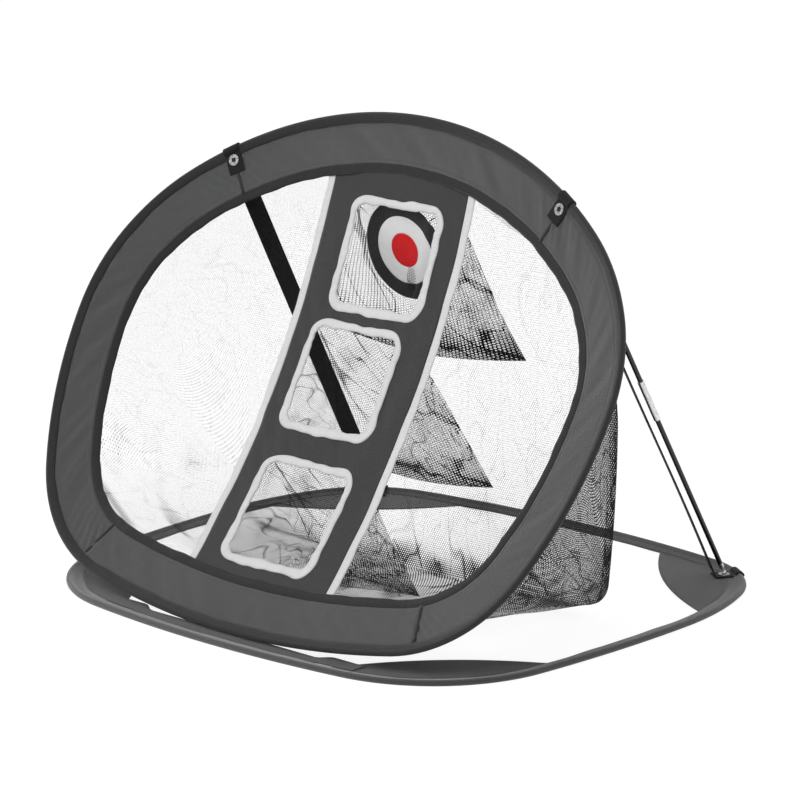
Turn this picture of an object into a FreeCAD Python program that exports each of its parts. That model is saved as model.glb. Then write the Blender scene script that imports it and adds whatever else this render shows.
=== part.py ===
"""Pop-up golf chipping net.

Two sprung wire hoops in fabric sleeves are hinged along the front edge: one lies flat on the
ground, the other leans back and carries a fabric band, a target panel with three windows, and a
net bag. A shock-corded pole and a webbing strap on each side join the front hoop's top corners to
the base hoop's rear corners.

Frame: +Z up, the ball comes from -Y, origin on the ground at the middle of the base hoop.
Millimetres and degrees.
"""
import FreeCAD, Part
import math
import os
import Sketcher

V = FreeCAD.Vector
DOC = FreeCAD.newDocument("chipping_net")

# --------------------------------------------------------------------------- driving dimensions
SIZES = {
    # base hoop, seen from above: a rounded square, widest a little behind its middle
    "base_half_width": 368, "base_front_reach": 411, "base_rear_reach": 247,
    "base_front_corner": 182, "base_front_flat": 7.8, "base_front_round": 82.1,
    "base_rear_corner": 141, "base_rear_flat": 9.1, "base_rear_round": 70.3,
    # front hoop, seen square on: rounded-square foot and an oval top
    "front_half_width": 416, "front_low_reach": 339, "front_top_reach": 301,
    "front_low_corner": 197, "front_low_flat": 11.7, "front_low_round": 66.5,
    "front_top_corner": 284, "front_top_flat": 38, "front_top_round": 60.8,
    "lean": 29.7, "hinge_setback": 38,
    # spring wire, its crimp and the fabric sleeve round them
    "wire_thick": 1.4, "wire_width": 3.3, "wire_end_gap": 0.6, "crimp_length": 40,
    "crimp_wall": 0.8, "crimp_gap": 0.3, "sleeve_wall": 0.75, "sleeve_chamfer": 1.6,
    "fabric": 1.2, "ground_lift": 1.0, "front_hem": 6, "base_hem": 14,
    # fabric band between the front hoop's sleeve and its inner binding, drawn back like a dish
    "dish": 15,
    "band_width": 45, "low_seam": 21.5, "top_seam": 30.8,
    "binding_width": 12, "binding_thick": 2.4,
    # base corner gussets and the strip that hinges the two hoops
    "rear_gusset_side": 8, "rear_gusset_back": 6.4, "rear_gusset_swell": 18,
    "front_gusset_side": 7, "front_gusset_front": 6.8, "front_gusset_swell": 18,
    "hinge_half_width": 150, "hinge_lap": 6,
    # target panel and its windows
    "panel_width": 210, "panel_thick": 1.6, "panel_bow": 30,
    "edge_width": 10, "edge_thick": 2.6,
    "window_width": 146, "window_height": 138, "window_corner": 22,
    "window_border": 11, "border_thick": 3,
    "window_low": 149, "window_mid": 319, "window_top": 469,
    "window_low_side": -4, "window_mid_side": -9, "window_top_side": 4,
    # printed target hanging behind the top window
    "target_radius": 60, "target_middle": 42, "target_bull": 21, "target_thick": 1,
    "target_drop": 84, "target_gap": 0.3,
    # net pockets behind the windows and the net bag; depths and reaches run back from the hinge
    "net_wall": 1.4, "net_gap": 0.4, "hinge_gap": 0.9,
    "pocket_width": 150, "pocket_seam": 14, "pocket_mouth": 4,
    "pocket_reach": 329, "pocket_top_floor": 284, "pocket_mid_floor": 128,
    "pocket_low_floor": 8, "pocket_low_reach": 241,
    "bag_depth": 334, "bag_floor": 3.2, "bag_half_width": 295,
    "bag_low_reach": 225, "bag_top_reach": 245,
    "bag_mid_depth": 196, "bag_mid_lean": 12, "bag_mid_half_width": 335,
    "bag_mid_low_reach": 265, "bag_mid_top_reach": 233, "bag_mid_corner": 120,
    "bag_mid_crown": 230, "bag_corner": 90, "bag_crown": 200, "bag_mouth_lap": 7,
    "bag_mouth_sag": 1.8,
    # webbing tabs with grommets
    "tab_width": 22, "tab_thick": 1.5, "tab_reach": 30, "tab_slack": 0.3,
    "front_grommet_inset": 17, "base_grommet_inset": 20,
    "base_tab_corner": 35, "front_tab_corner": 30.8,
    "grommet_bore": 6, "grommet_barrel": 8.4, "grommet_flange": 14, "grommet_lip": 0.8,
    "grommet_slack": 0.2,
    # poles
    "rod_dia": 6, "rod_bore": 3.2, "cord_dia": 2, "tip_nose": 6.2,
    "tip_neck": 3.4, "tip_neck_length": 6, "tip_collar": 6, "tip_seat": 1.6, "tip_standoff": 13,
    "pole_ferrule_length": 58, "pole_ferrule_dia": 8, "pole_ferrule_slack": 0.05,
    "cord_end_gap": 0.3,
    # webbing straps
    "strap_width": 22, "strap_thick": 1.6, "strap_inset": 14, "strap_turn": 42,
    "strap_low_gap": 3.4, "strap_top_gap": 6.5,
}

sheet = DOC.addObject("Spreadsheet::Sheet", "Sizes")
for row, (alias, number) in enumerate(SIZES.items(), start=1):
    sheet.set(f"A{row}", alias)
    sheet.set(f"B{row}", str(number))
    sheet.setAlias(f"B{row}", alias)
DOC.recompute()


def size(alias):
    """A driving dimension, read back from the sheet."""
    return float(sheet.get(alias))


def bind(thing, prop, formula):
    """Ties a property to the sheet; bare names in braces are its aliases."""
    thing.setExpression(prop, formula.replace("{", "Sizes.").replace("}", ""))


# ------------------------------------------------------------------------------ worked-out sizes
CRIMP_HALF = [size(side) / 2 + size("crimp_wall") for side in ("wire_thick", "wire_width")]
BORE_HALF = [half + size("crimp_gap") for half in CRIMP_HALF]
SLEEVE_R = BORE_HALF[1] + size("sleeve_wall")
FRONT_EDGE = -(size("base_front_reach") + size("base_rear_reach")) / 2
HINGE_Y = FRONT_EDGE + size("hinge_setback")
BASE_FABRIC_TOP = size("ground_lift") + size("fabric")
HINGE_Z = BASE_FABRIC_TOP + size("hinge_gap") + SLEEVE_R
LEAN = math.radians(size("lean"))
BAND_IN = 2 * SLEEVE_R + size("front_hem")
BINDING_IN = BAND_IN + size("band_width")
OPENING_IN = BINDING_IN + size("binding_width")
BASE_HEM_IN = 2 * SLEEVE_R + size("base_hem")
TAB_BEND = [math.hypot(SLEEVE_R, SLEEVE_R - size("sleeve_chamfer")) + size("tab_slack") + thick
            for thick in (0, size("tab_thick"))]
DISH = math.radians(size("dish"))


# ------------------------------------------------------------------------------- hoop outlines
def quarter(width, reach, corner, flat, round_):
    """Radii of a quarter oval of three tangent arcs: end arc, corner arc and side arc.

    flat and round_ are the headings where the corner arc starts and stops, from 0 on the end
    to 90 on the side. The corner radius is given and the other two follow from width and reach.
    """
    start, stop = math.radians(flat), math.radians(round_)
    a, b = math.sin(start), 1 - math.sin(stop)
    c, d = 1 - math.cos(start), math.cos(stop)
    across = width - corner * (math.sin(stop) - math.sin(start))
    along = reach - corner * (math.cos(start) - math.cos(stop))
    det = a * d - b * c
    return (across * d - b * along) / det, corner, (a * along - c * across) / det


def outline(low, top, foot):
    """A closed, left-right symmetric oval as arcs (centre, radius, first heading, last heading).

    It starts at (0, foot) with heading 0 along +X and turns left all the way round. low and top
    are the arguments of quarter() for the halves below and above the widest line.
    """
    end, corner, side = quarter(*low)
    top_end, top_corner, top_side = quarter(*top)
    right = [(end, 0, low[3]), (corner, low[3], low[4]), (side, low[4], 90),
             (top_side, 90, 180 - top[4]), (top_corner, 180 - top[4], 180 - top[3]),
             (top_end, 180 - top[3], 180)]
    left = [(radius, 360 - last, 360 - first) for radius, first, last in reversed(right)]
    arcs = []
    at = V(0, foot, 0)
    for radius, first, last in right + left:
        centre = at - facing(first) * radius
        arcs.append((centre, radius, first, last))
        at = centre + facing(last) * radius
    return arcs


def facing(heading):
    """The outward normal where the outline runs at this heading."""
    angle = math.radians(heading)
    return V(math.sin(angle), -math.cos(angle), 0)


def point(arcs, heading, inset=0):
    """The outline's point at a heading, moved inwards by inset."""
    for centre, radius, first, last in arcs:
        if first <= heading <= last:
            return centre + facing(heading) * (radius - inset)
    raise ValueError("heading outside the outline")


def span(arcs, first, last, inset=0):
    """Arc edges of the outline between two headings, moved inwards by inset."""
    pieces = []
    for lap in (-360, 0, 360):
        for centre, radius, low, high in arcs:
            start, stop = max(first, low + lap), min(last, high + lap)
            if stop - start > 1e-6:
                circle = Part.Circle(centre, V(0, 0, 1), radius - inset)
                pieces.append(Part.ArcOfCircle(circle, math.radians(start - 90),
                                               math.radians(stop - 90)))
    return pieces


def sizes(prefix, *names):
    return [size(f"{prefix}_{name}") for name in names]


BASE = outline(
    [size("base_half_width"), *sizes("base_front", "reach", "corner", "flat", "round")],
    [size("base_half_width"), *sizes("base_rear", "reach", "corner", "flat", "round")],
    FRONT_EDGE,
)
FRONT = outline(
    [size("front_half_width"), *sizes("front_low", "reach", "corner", "flat", "round")],
    [size("front_half_width"), *sizes("front_top", "reach", "corner", "flat", "round")],
    -SLEEVE_R,
)


# ----------------------------------------------------------------------------- modelling helpers
NODES = []


def plane_of(body, role):
    return next(o for o in body.Origin.OriginFeatures if o.Role == role)


def new_body(label, front=False, across="0"):
    """A body in the world frame, or in the front hoop's frame with its origin on the hinge."""
    body = DOC.addObject("PartDesign::Body", label)
    body.Label = label
    NODES.append(body)
    if front:
        body.Placement = FreeCAD.Placement(V(0, 0, 0), FreeCAD.Rotation(V(1, 0, 0), -90))
        bind(body, "Placement.Rotation.Angle", "-{lean} * pi / 180 * 1 rad")
        bind(body, "Placement.Base.x", across)
        bind(body, "Placement.Base.y",
             "-({base_front_reach} + {base_rear_reach}) / 2 + {hinge_setback}")
        bind(body, "Placement.Base.z",
             "{ground_lift} + {fabric} + {hinge_gap} + {wire_width} / 2 + {crimp_wall} + {crimp_gap}"
             " + {sleeve_wall}")
    return body


def sketch(body, role, geometry, name="Sketch"):
    item = body.newObject("Sketcher::SketchObject", name)
    item.AttachmentSupport = [(plane_of(body, role), "")]
    item.MapMode = "FlatFace"
    item.addGeometry(list(geometry), False)
    return item


def pad(body, profile, formula, symmetric=False, backwards=False):
    item = body.newObject("PartDesign::Pad", "Pad")
    item.Profile = profile
    if symmetric:
        item.SideType = "Symmetric"
    item.Reversed = backwards
    bind(item, "Length", formula)
    return item


def pocket(body, profile):
    """Cuts a profile through everything, both ways."""
    item = body.newObject("PartDesign::Pocket", "Pocket")
    item.Profile = profile
    item.Type = "ThroughAll"
    item.SideType = "Symmetric"
    return item


def line(a, b):
    return Part.LineSegment(V(*a, 0), V(*b, 0))


def loop(*corners):
    return [line(a, b) for a, b in zip(corners, corners[1:] + corners[:1])]


def join(a, b):
    return Part.LineSegment(a, b)


def circle(x, y, radius):
    return Part.Circle(V(x, y, 0), V(0, 0, 1), radius)


def arc(x, y, radius, first, last):
    return Part.ArcOfCircle(circle(x, y, radius), math.radians(first), math.radians(last))


def rounded(x, y, width, height, corner):
    """A rounded rectangle centred on (x, y)."""
    a, b = width / 2 - corner, height / 2 - corner
    edges = []
    for turn, (sx, sy) in enumerate(((1, 1), (-1, 1), (-1, -1), (1, -1))):
        edges.append(arc(x + sx * a, y + sy * b, corner, turn * 90, turn * 90 + 90))
    edges += [line((x + a, y + b + corner), (x - a, y + b + corner)),
              line((x - a - corner, y + b), (x - a - corner, y - b)),
              line((x - a, y - b - corner), (x + a, y - b - corner)),
              line((x + a + corner, y - b), (x + a + corner, y + b))]
    return edges


def sector(arcs, first, last, outer, inner):
    """A strip of the outline between two headings and two insets, closed by its two seams."""
    return (span(arcs, first, last, outer) + span(arcs, first, last, inner)
            + [join(point(arcs, first % 360, outer), point(arcs, first % 360, inner)),
               join(point(arcs, last % 360, outer), point(arcs, last % 360, inner))])


def swept(body, path_role, path, section, cut=False):
    """A section drawn on the middle plane and carried along the outline, added or cut away."""
    spine = sketch(body, path_role, path, "Path")
    profile = sketch(body, "YZ_Plane", section, "Section")
    kind = "Subtractive" if cut else "Additive"
    item = body.newObject(f"PartDesign::{kind}Pipe", "Pipe")
    item.Profile = profile
    item.Spine = (spine, [])
    return item


# ------------------------------------------------------------------------------------ the hoops
def oblong(across, level, half):
    """A rectangle about (across, level), as corners."""
    a, b = half
    return [(across - a, level - b), (across + a, level - b), (across + a, level + b),
            (across - a, level + b)]


def sleeve_section(middle, level, hem_end, low, high):
    """A chamfered tube of fabric and its hem, as corners (into the hoop, out of its plane).

    low and high are the hem's undersides and tops, each given where it leaves the tube and
    where it ends.
    """
    r = SLEEVE_R
    k = r - size("sleeve_chamfer")

    def leaves(height):
        """How far in from the tube's middle its wall lies at a height."""
        return r if abs(height) <= k else r + k - abs(height)

    inner = [(leaves(low[0]), low[0]), (hem_end - middle, low[1]), (hem_end - middle, high[1]),
             (leaves(high[0]), high[0])]
    below = [(-r, -k), (-k, -r), (k, -r)] + ([(r, -k)] if low[0] > -k else [])
    above = ([(r, k)] if high[0] < k else []) + [(k, r), (-k, r), (-r, k)]
    return [(middle + across, level + height) for across, height in below + inner + above]


def drawn(section, front):
    """The section's edges as they lie on the drawing plane of a base or a front body."""
    return loop(*[(height, across) if front else (across, height) for across, height in section])


def hoop(name, arcs, foot, level, seam, hem, front):
    """Flat spring wire, the crimp that joins its ends, and the fabric sleeve with its hem.

    foot is the outline's front or lowest point, level the wire's height out of the hoop's plane,
    seam the heading where the wire ends meet, and hem the hem's inner edge, underside and top.
    """
    role = "XZ_Plane" if front else "XY_Plane"
    path = span(arcs, 0, 360, SLEEVE_R)
    middle = foot + SLEEVE_R
    wire_half = [size("wire_thick") / 2, size("wire_width") / 2]

    wire = new_body(f"{name}_wire", front)
    swept(wire, role, path, drawn(oblong(middle, level, wire_half), front))
    gap = size("wire_end_gap") / 2
    end = point(arcs, seam, SLEEVE_R).y
    pocket(wire, sketch(wire, role, loop((-gap, end - SLEEVE_R), (gap, end - SLEEVE_R),
                                         (gap, end + SLEEVE_R), (-gap, end + SLEEVE_R)), "Gap"))

    crimp = new_body(f"{name}_wire_crimp", front)
    radius = next(r for c, r, first, last in arcs if first <= seam <= last) - SLEEVE_R
    half = math.degrees(size("crimp_length") / 2 / radius)
    both = [edge for sides in (CRIMP_HALF, wire_half)
            for edge in drawn(oblong(end, level, sides), front)]
    swept(crimp, role, span(arcs, seam - half, seam + half, SLEEVE_R), both)

    sleeve = new_body(f"{name}_sleeve", front)
    swept(sleeve, role, path, drawn(sleeve_section(middle, level, *hem), front))
    swept(sleeve, role, path, drawn(oblong(middle, level, BORE_HALF), front), cut=True)
    return sleeve


def drawn_back(inset):
    """How far behind the front hoop's plane the dished fabric lies at an inset."""
    return (inset - SLEEVE_R) * math.tan(DISH)


def dished(first, last, thick):
    """A strip of the dish between two insets, as corners (height above the hinge, depth)."""
    half = thick / 2 / math.cos(DISH)
    return [(first - SLEEVE_R, drawn_back(first) - half), (last - SLEEVE_R, drawn_back(last) - half),
            (last - SLEEVE_R, drawn_back(last) + half), (first - SLEEVE_R, drawn_back(first) + half)]


HALF_FABRIC = size("fabric") / 2
LEVELS = [[height - SLEEVE_R] * 2 for height in (size("ground_lift"), BASE_FABRIC_TOP)]
base_sleeve = hoop("base", BASE, FRONT_EDGE, SLEEVE_R, 180,
                   (FRONT_EDGE + BASE_HEM_IN, *LEVELS), front=False)
SLOPES = [[drawn_back(inset) + side * HALF_FABRIC / math.cos(DISH)
           for inset in (2 * SLEEVE_R, BAND_IN)] for side in (-1, 1)]
front_sleeve = hoop("front", FRONT, -SLEEVE_R, 0, 0, (BAND_IN - SLEEVE_R, *SLOPES), front=True)


# ------------------------------------------------------------------- webbing tabs and grommets
def at_outline(arcs, heading, inset):
    """A point of the outline, and the angle of its outward normal from the first axis."""
    normal = facing(heading)
    return point(arcs, heading, inset), math.degrees(math.atan2(normal.y, normal.x))


def hole(body, role, centre, slant=0):
    """The round hole that a grommet's barrel passes through, with room for its slant."""
    radius = size("grommet_barrel") / 2 + size("grommet_slack") + slant
    opening = circle(centre.x, centre.y, radius)
    return pocket(body, sketch(body, role, [opening], "GrommetHole"))


BASE_TABS = {side: at_outline(BASE, heading, size("base_grommet_inset")) for side, heading in
             (("right", 180 - size("base_tab_corner")), ("left", 180 + size("base_tab_corner")))}
SLANT = size("front_grommet_inset") - SLEEVE_R
FRONT_TABS = {side: at_outline(FRONT, heading, SLEEVE_R + SLANT * math.cos(DISH)) for side, heading
              in (("right", 180 - size("front_tab_corner")), ("left", 180 + size("front_tab_corner")))}


def tab(label, inset, leaf_low, leaf_high, wraps):
    """A webbing loop over the hoop: X points out of the hoop, the tube's middle is at the origin.

    leaf_low and leaf_high bound the leaf on the hem's upper face, measured from the tube's
    middle. A tab that wraps has a second leaf on the other face; one that lies on the ground
    ends at the tube's side.
    """
    body = DOC.addObject("PartDesign::Body", label)
    body.Label = label
    NODES.append(body)
    loops = [bend(radius, leaf) for radius, leaf in ((TAB_BEND[0], leaf_low), (TAB_BEND[1], leaf_high))]
    end = -size("tab_reach")
    leaf = [(end, leaf_low), (end, leaf_high)]
    if wraps:
        inner, outer = ([*mirrored(half), *half] for half in loops)
        section = loop(*inner, *leaf, *outer[::-1], *mirrored(leaf))
    else:
        inner, outer = ([(radius, 0), *half] for radius, half in zip(TAB_BEND, loops))
        section = loop(*inner, *leaf, *outer[::-1])
    pad(body, sketch(body, "XZ_Plane", section), "{tab_width}", symmetric=True)
    opening = circle(SLEEVE_R - inset, 0, size("grommet_barrel") / 2 + size("grommet_slack"))
    pocket(body, sketch(body, "XY_Plane", [opening], "GrommetHole"))
    return body


def bend(radius, leaf):
    """The upper half of an eight-sided bend about the origin, down to a leaf at its inner side."""
    k = radius * math.tan(math.radians(22.5))
    root = radius if leaf < k else radius + k - leaf
    last = [(-radius, k)] if leaf < k else []
    return [(radius, k), (k, radius), (-k, radius), *last, (-root, leaf)]


def mirrored(corners):
    return [(x, -y) for x, y in corners[::-1]]


def grommet(label, bottom, top):
    """A rolled eyelet: a barrel with a flange on each side of the webbing."""
    body = DOC.addObject("PartDesign::Body", label)
    body.Label = label
    NODES.append(body)
    bore, barrel, flange = (size(f"grommet_{part}") / 2 for part in ("bore", "barrel", "flange"))
    lip = size("grommet_lip")
    section = [(bore, bottom - lip), (flange, bottom - lip), (flange, bottom), (barrel, bottom),
               (barrel, top), (flange, top), (flange, top + lip), (bore, top + lip)]
    profile = sketch(body, "XZ_Plane", loop(*section))
    item = body.newObject("PartDesign::Revolution", "Turned")
    item.Profile = profile
    item.ReferenceAxis = (profile, ["V_Axis"])
    item.Angle = 360
    return body


def into_front(spot, out=0):
    """A point of the front hoop's plane, out towards its back, in the world frame."""
    return V(spot.x, HINGE_Y + spot.y * math.sin(LEAN) + out * math.cos(LEAN),
             HINGE_Z + spot.y * math.cos(LEAN) - out * math.sin(LEAN))


TAB_SEAT = HALF_FABRIC + size("tab_slack")
TAB_LEAF = TAB_SEAT + size("tab_thick")
SLANT_ROOM = TAB_LEAF * math.sin(DISH)
BASE_LEAF = [BASE_FABRIC_TOP + size("tab_slack") + thick for thick in (0, size("tab_thick"))]
for side, sign in (("left", -1), ("right", 1)):
    spot, turn = BASE_TABS[side]
    spin = FreeCAD.Rotation(V(0, 0, 1), turn)
    root = point(BASE, 180 - sign * size("base_tab_corner"), SLEEVE_R)
    leaf = [top - SLEEVE_R for top in BASE_LEAF]
    base_tab = tab(f"base_tab_{side}", size("base_grommet_inset"), *leaf, wraps=False)
    base_tab.Placement = FreeCAD.Placement(V(root.x, root.y, SLEEVE_R), spin)
    ring = grommet(f"base_grommet_{side}", size("ground_lift"), BASE_LEAF[1])
    ring.Placement = FreeCAD.Placement(V(spot.x, spot.y, 0), FreeCAD.Rotation())
    hole(base_sleeve, "XY_Plane", spot)

    spot, turn = FRONT_TABS[side]
    root = point(FRONT, 180 - sign * size("front_tab_corner"), SLEEVE_R)
    upright = FreeCAD.Rotation(V(1, 0, 0), 90 - size("lean"))
    spin = upright.multiply(FreeCAD.Rotation(V(0, 0, 1), turn))
    spin = spin.multiply(FreeCAD.Rotation(V(0, 1, 0), -size("dish")))
    inset = size("front_grommet_inset")
    front_tab = tab(f"front_tab_{side}", inset, TAB_SEAT, TAB_LEAF, wraps=True)
    front_tab.Placement = FreeCAD.Placement(into_front(root), spin)
    ring = grommet(f"front_grommet_{side}", -TAB_LEAF, TAB_LEAF)
    ring.Placement = FreeCAD.Placement(into_front(spot, SLANT * math.sin(DISH)), spin)
    hole(front_sleeve, "XZ_Plane", spot, SLANT_ROOM)


# ---------------------------------------------------------- base gussets and the hinge strip
def ground_sheet(label, edges):
    """A flat piece of fabric that lies in the base hoop."""
    body = new_body(label)
    flat = sketch(body, "XY_Plane", edges)
    bind(flat, "AttachmentOffset.Base.z", "{ground_lift}")
    pad(body, flat, "{fabric}")
    return body


for side, sign in (("left", -1), ("right", 1)):
    corners = {
        "rear": (90 + size("rear_gusset_side"), 180 - size("rear_gusset_back")),
        "front": (size("front_gusset_front"), 90 - size("front_gusset_side")),
    }
    for place, (first, last) in corners.items():
        if sign < 0:
            first, last = 360 - last, 360 - first
        edges = span(BASE, first, last, BASE_HEM_IN)
        ends = [point(BASE, last, BASE_HEM_IN), point(BASE, first, BASE_HEM_IN)]
        chord = ends[1] - ends[0]
        swell = V(chord.y, -chord.x, 0).normalize() * size(f"{place}_gusset_swell")
        edges.append(Part.Arc(ends[0], (ends[0] + ends[1]) / 2 + swell, ends[1]))
        gusset = ground_sheet(f"base_gusset_{place}_{side}", edges)
        if place == "rear":
            hole(gusset, "XY_Plane", BASE_TABS[side][0])

half = size("hinge_half_width")
reach_in = HINGE_Y + size("hinge_lap")
edge_heading = math.degrees(math.asin(half / (BASE[0][1] - BASE_HEM_IN)))
edges = span(BASE, -edge_heading, edge_heading, BASE_HEM_IN)
ends = [point(BASE, 360 - edge_heading, BASE_HEM_IN), point(BASE, edge_heading, BASE_HEM_IN)]
edges += [join(ends[1], V(half, reach_in, 0)), line((half, reach_in), (-half, reach_in)),
          join(V(-half, reach_in, 0), ends[0])]
ground_sheet("hinge_strip", edges)

# ------------------------------------------------------------- the front hoop's fabric band
SEAMS = {
    "bottom": (-size("low_seam"), size("low_seam")),
    "right": (size("low_seam"), 180 - size("top_seam")),
    "top": (180 - size("top_seam"), 180 + size("top_seam")),
    "left": (180 + size("top_seam"), 360 - size("low_seam")),
}


def beyond(first, last):
    """All that lies outside the sector between two headings, as one closed outline."""
    far = 2 * size("front_half_width")
    seams = [[point(FRONT, heading % 360, inset) for inset in (-far, OPENING_IN + SLEEVE_R)]
             for heading in (last, first)]
    turns = [last + (first + 360 - last) * step / 4 for step in (1, 2, 3)]
    middle = point(FRONT, (first + last) / 2 % 360, OPENING_IN)
    around = [middle + facing(heading) * 2 * far for heading in turns]
    corners = [seams[0][1], seams[0][0], *around, seams[1][0], seams[1][1]]
    return [join(a, b) for a, b in zip(corners, corners[1:] + corners[:1])]


DISH_PATH = span(FRONT, 0, 360, SLEEVE_R)
for place, (first, last) in SEAMS.items():
    band = new_body(f"band_{place}", front=True)
    swept(band, "XZ_Plane", DISH_PATH, drawn(dished(BAND_IN, BINDING_IN, size("fabric")), True))
    pocket(band, sketch(band, "XZ_Plane", beyond(first, last), "Seams"))
    for side in ("left", "right"):
        if place in ("top", side):
            hole(band, "XZ_Plane", FRONT_TABS[side][0], SLANT_ROOM)
inner_binding = new_body("inner_binding", front=True)
swept(inner_binding, "XZ_Plane", DISH_PATH,
      drawn(dished(BINDING_IN, OPENING_IN, size("binding_thick")), True))

# ------------------------------------------------------------------ target panel and windows
PANEL_LOW = OPENING_IN - SLEEVE_R
PANEL_HIGH = point(FRONT, 180, OPENING_IN).y
PANEL_MID = (PANEL_LOW + PANEL_HIGH) / 2
HALF_CHORD = (PANEL_HIGH - PANEL_LOW) / 2
BOW_R = (HALF_CHORD ** 2 + size("panel_bow") ** 2) / (2 * size("panel_bow"))
BOW_Y = drawn_back(OPENING_IN) + size("panel_bow") - BOW_R
FAR = 2 * size("front_half_width")
ALL_ROUND = loop((-FAR, -FAR), (FAR, -FAR), (FAR, 2 * FAR), (-FAR, 2 * FAR))


def bow(height, behind=0):
    """How far the panel's middle surface lies behind the hoop's plane at a height."""
    return BOW_Y + math.sqrt((BOW_R + behind) ** 2 - (height - PANEL_MID) ** 2)


def bowed(label, width, thick, across="0"):
    """A strip of fabric that follows the panel's bow from the foot to the top of the opening."""
    body = new_body(label, front=True, across=across)
    turn = math.degrees(math.asin(HALF_CHORD / BOW_R)) + 1
    half = size(thick) / 2
    inner, outer = BOW_R - half, BOW_R + half
    ends = [V(BOW_Y, PANEL_MID, 0)
            + V(math.cos(math.radians(a)), math.sin(math.radians(a)), 0) * r
            for a, r in ((-turn, inner), (-turn, outer), (turn, outer), (turn, inner))]
    edges = [arc(BOW_Y, PANEL_MID, inner, -turn, turn), arc(BOW_Y, PANEL_MID, outer, -turn, turn),
             join(ends[0], ends[1]), join(ends[2], ends[3])]
    pad(body, sketch(body, "YZ_Plane", edges, "Bow"), width, symmetric=True)
    return body


def trim_to_opening(body, shift=0):
    """Cuts off what lies outside the inner binding."""
    inside = span(FRONT, 0, 360, OPENING_IN)
    for edge in inside:
        edge.translate(V(-shift, 0, 0))
    pocket(body, sketch(body, "XZ_Plane", ALL_ROUND + inside, "Trim"))


WINDOWS = {name: (size(f"window_{place}_side"), size(f"window_{place}"))
           for name, place in (("top", "top"), ("middle", "mid"), ("bottom", "low"))}
WINDOW = [size(f"window_{part}") for part in ("width", "height", "corner")]
panel = bowed("panel", "{panel_width}", "panel_thick")
trim_to_opening(panel)
for side, height in WINDOWS.values():
    opening = rounded(side, height, *WINDOW)
    pocket(panel, sketch(panel, "XZ_Plane", opening, "Window"))
for side, sign in (("left", "-"), ("right", "")):
    shift = (size("panel_width") + size("edge_width")) / 2 * (-1 if sign else 1)
    edge = bowed(f"panel_edge_{side}", "{edge_width}", "edge_thick",
                 f"{sign}({{panel_width}} + {{edge_width}}) / 2")
    trim_to_opening(edge, shift)
for name, (side, height) in WINDOWS.items():
    frame = bowed(f"window_frame_{name}", "{window_width}", "border_thick", f"{side} mm")
    border = size("window_border")
    inner = [WINDOW[0] - 2 * border, WINDOW[1] - 2 * border, WINDOW[2] - border]
    outline_edges = ALL_ROUND + rounded(0, height, *WINDOW)
    pocket(frame, sketch(frame, "XZ_Plane", outline_edges, "Outline"))
    pocket(frame, sketch(frame, "XZ_Plane", rounded(0, height, *inner), "Opening"))

# ------------------------------------------------------------------------ net pockets and bag
def world_to_front(reach, z):
    """A point so far behind the hinge, at a height, in the front hoop's (depth, height)."""
    dy, dz = reach, z - HINGE_Z
    return (dy * math.cos(LEAN) - dz * math.sin(LEAN), dy * math.sin(LEAN) + dz * math.cos(LEAN))


def shrunk(corners, wall):
    """A triangle moved in by wall on the two sides that meet at its last corner."""
    top, low, rear = (V(*corner, 0) for corner in corners)
    sides = []
    for a, b in ((top, rear), (low, rear)):
        along = (b - a).normalize()
        across = V(-along.y, along.x, 0)
        if across.dot((top + low + rear) / 3 - a) < 0:
            across = across * -1
        sides.append((a + across * wall, along))
    (p, u), (q, v) = sides
    step = ((q.x - p.x) * v.y - (q.y - p.y) * v.x) / (u.x * v.y - u.y * v.x)
    mouth = size("pocket_mouth")
    return [(spot.x, spot.y) for spot in (p - u * mouth, q - v * mouth, p + u * step)]


POCKET_FLOORS = {"top": (size("pocket_reach"), size("pocket_top_floor")),
                 "middle": (size("pocket_reach"), size("pocket_mid_floor")),
                 "bottom": (size("pocket_low_reach"), size("pocket_low_floor"))}


def pocket_corners(name):
    """A pocket's side, as (depth, height) in the front hoop's frame: top, foot and rear."""
    height, half = WINDOWS[name][1], size("window_height") / 2
    ends = [height + half + (size("pocket_seam") if name == "top" else 0), height - half]
    clear = size("border_thick") / 2 + size("net_gap")
    depth = [bow(end, clear) for end in ends]
    bulge = bow(sum(ends) / 2, clear) - sum(depth) / 2
    corners = [(out + bulge, end) for out, end in zip(depth, ends)]
    return corners + [world_to_front(*POCKET_FLOORS[name])]


for name in WINDOWS:
    net = new_body(f"pocket_net_{name}", front=True, across=f"{WINDOWS[name][0]} mm")
    corners = pocket_corners(name)
    pad(net, sketch(net, "YZ_Plane", loop(*corners)), "{pocket_width}", symmetric=True)
    hollow = sketch(net, "YZ_Plane", loop(*shrunk(corners, size("net_wall"))))
    cut = net.newObject("PartDesign::Pocket", "Hollow")
    cut.Profile = hollow
    cut.SideType = "Symmetric"
    bind(cut, "Length", "{pocket_width} - 2 * {net_wall}")

# ------------------------------------------------- target sewn inside the top pocket's rear wall
top, _, rear = (V(0, *corner) for corner in pocket_corners("top"))
slope = (rear - top).normalize()
inward = slope.cross(V(1, 0, 0))
if inward.y > 0:
    inward = inward * -1
offset = size("net_wall") + size("target_gap") + size("target_thick") / 2
middle = top + slope * size("target_drop") + inward * offset
rings = (("black", "target_radius", "target_middle"), ("grey", "target_middle", "target_bull"),
         ("red", "target_bull", None))
for colour, outer, inner in rings:
    disc = new_body(f"target_{colour}")
    flat = FreeCAD.Rotation(V(1, 0, 0), slope * -1, inward, "XZY")
    disc.Placement = FreeCAD.Placement(into_front(V(WINDOWS["top"][0], middle.z, 0), middle.y),
                                       FreeCAD.Rotation(V(1, 0, 0), -size("lean")).multiply(flat))
    edges = [circle(0, 0, size(name)) for name in (outer, inner) if name]
    pad(disc, sketch(disc, "XY_Plane", edges), "{target_thick}", symmetric=True)


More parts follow.
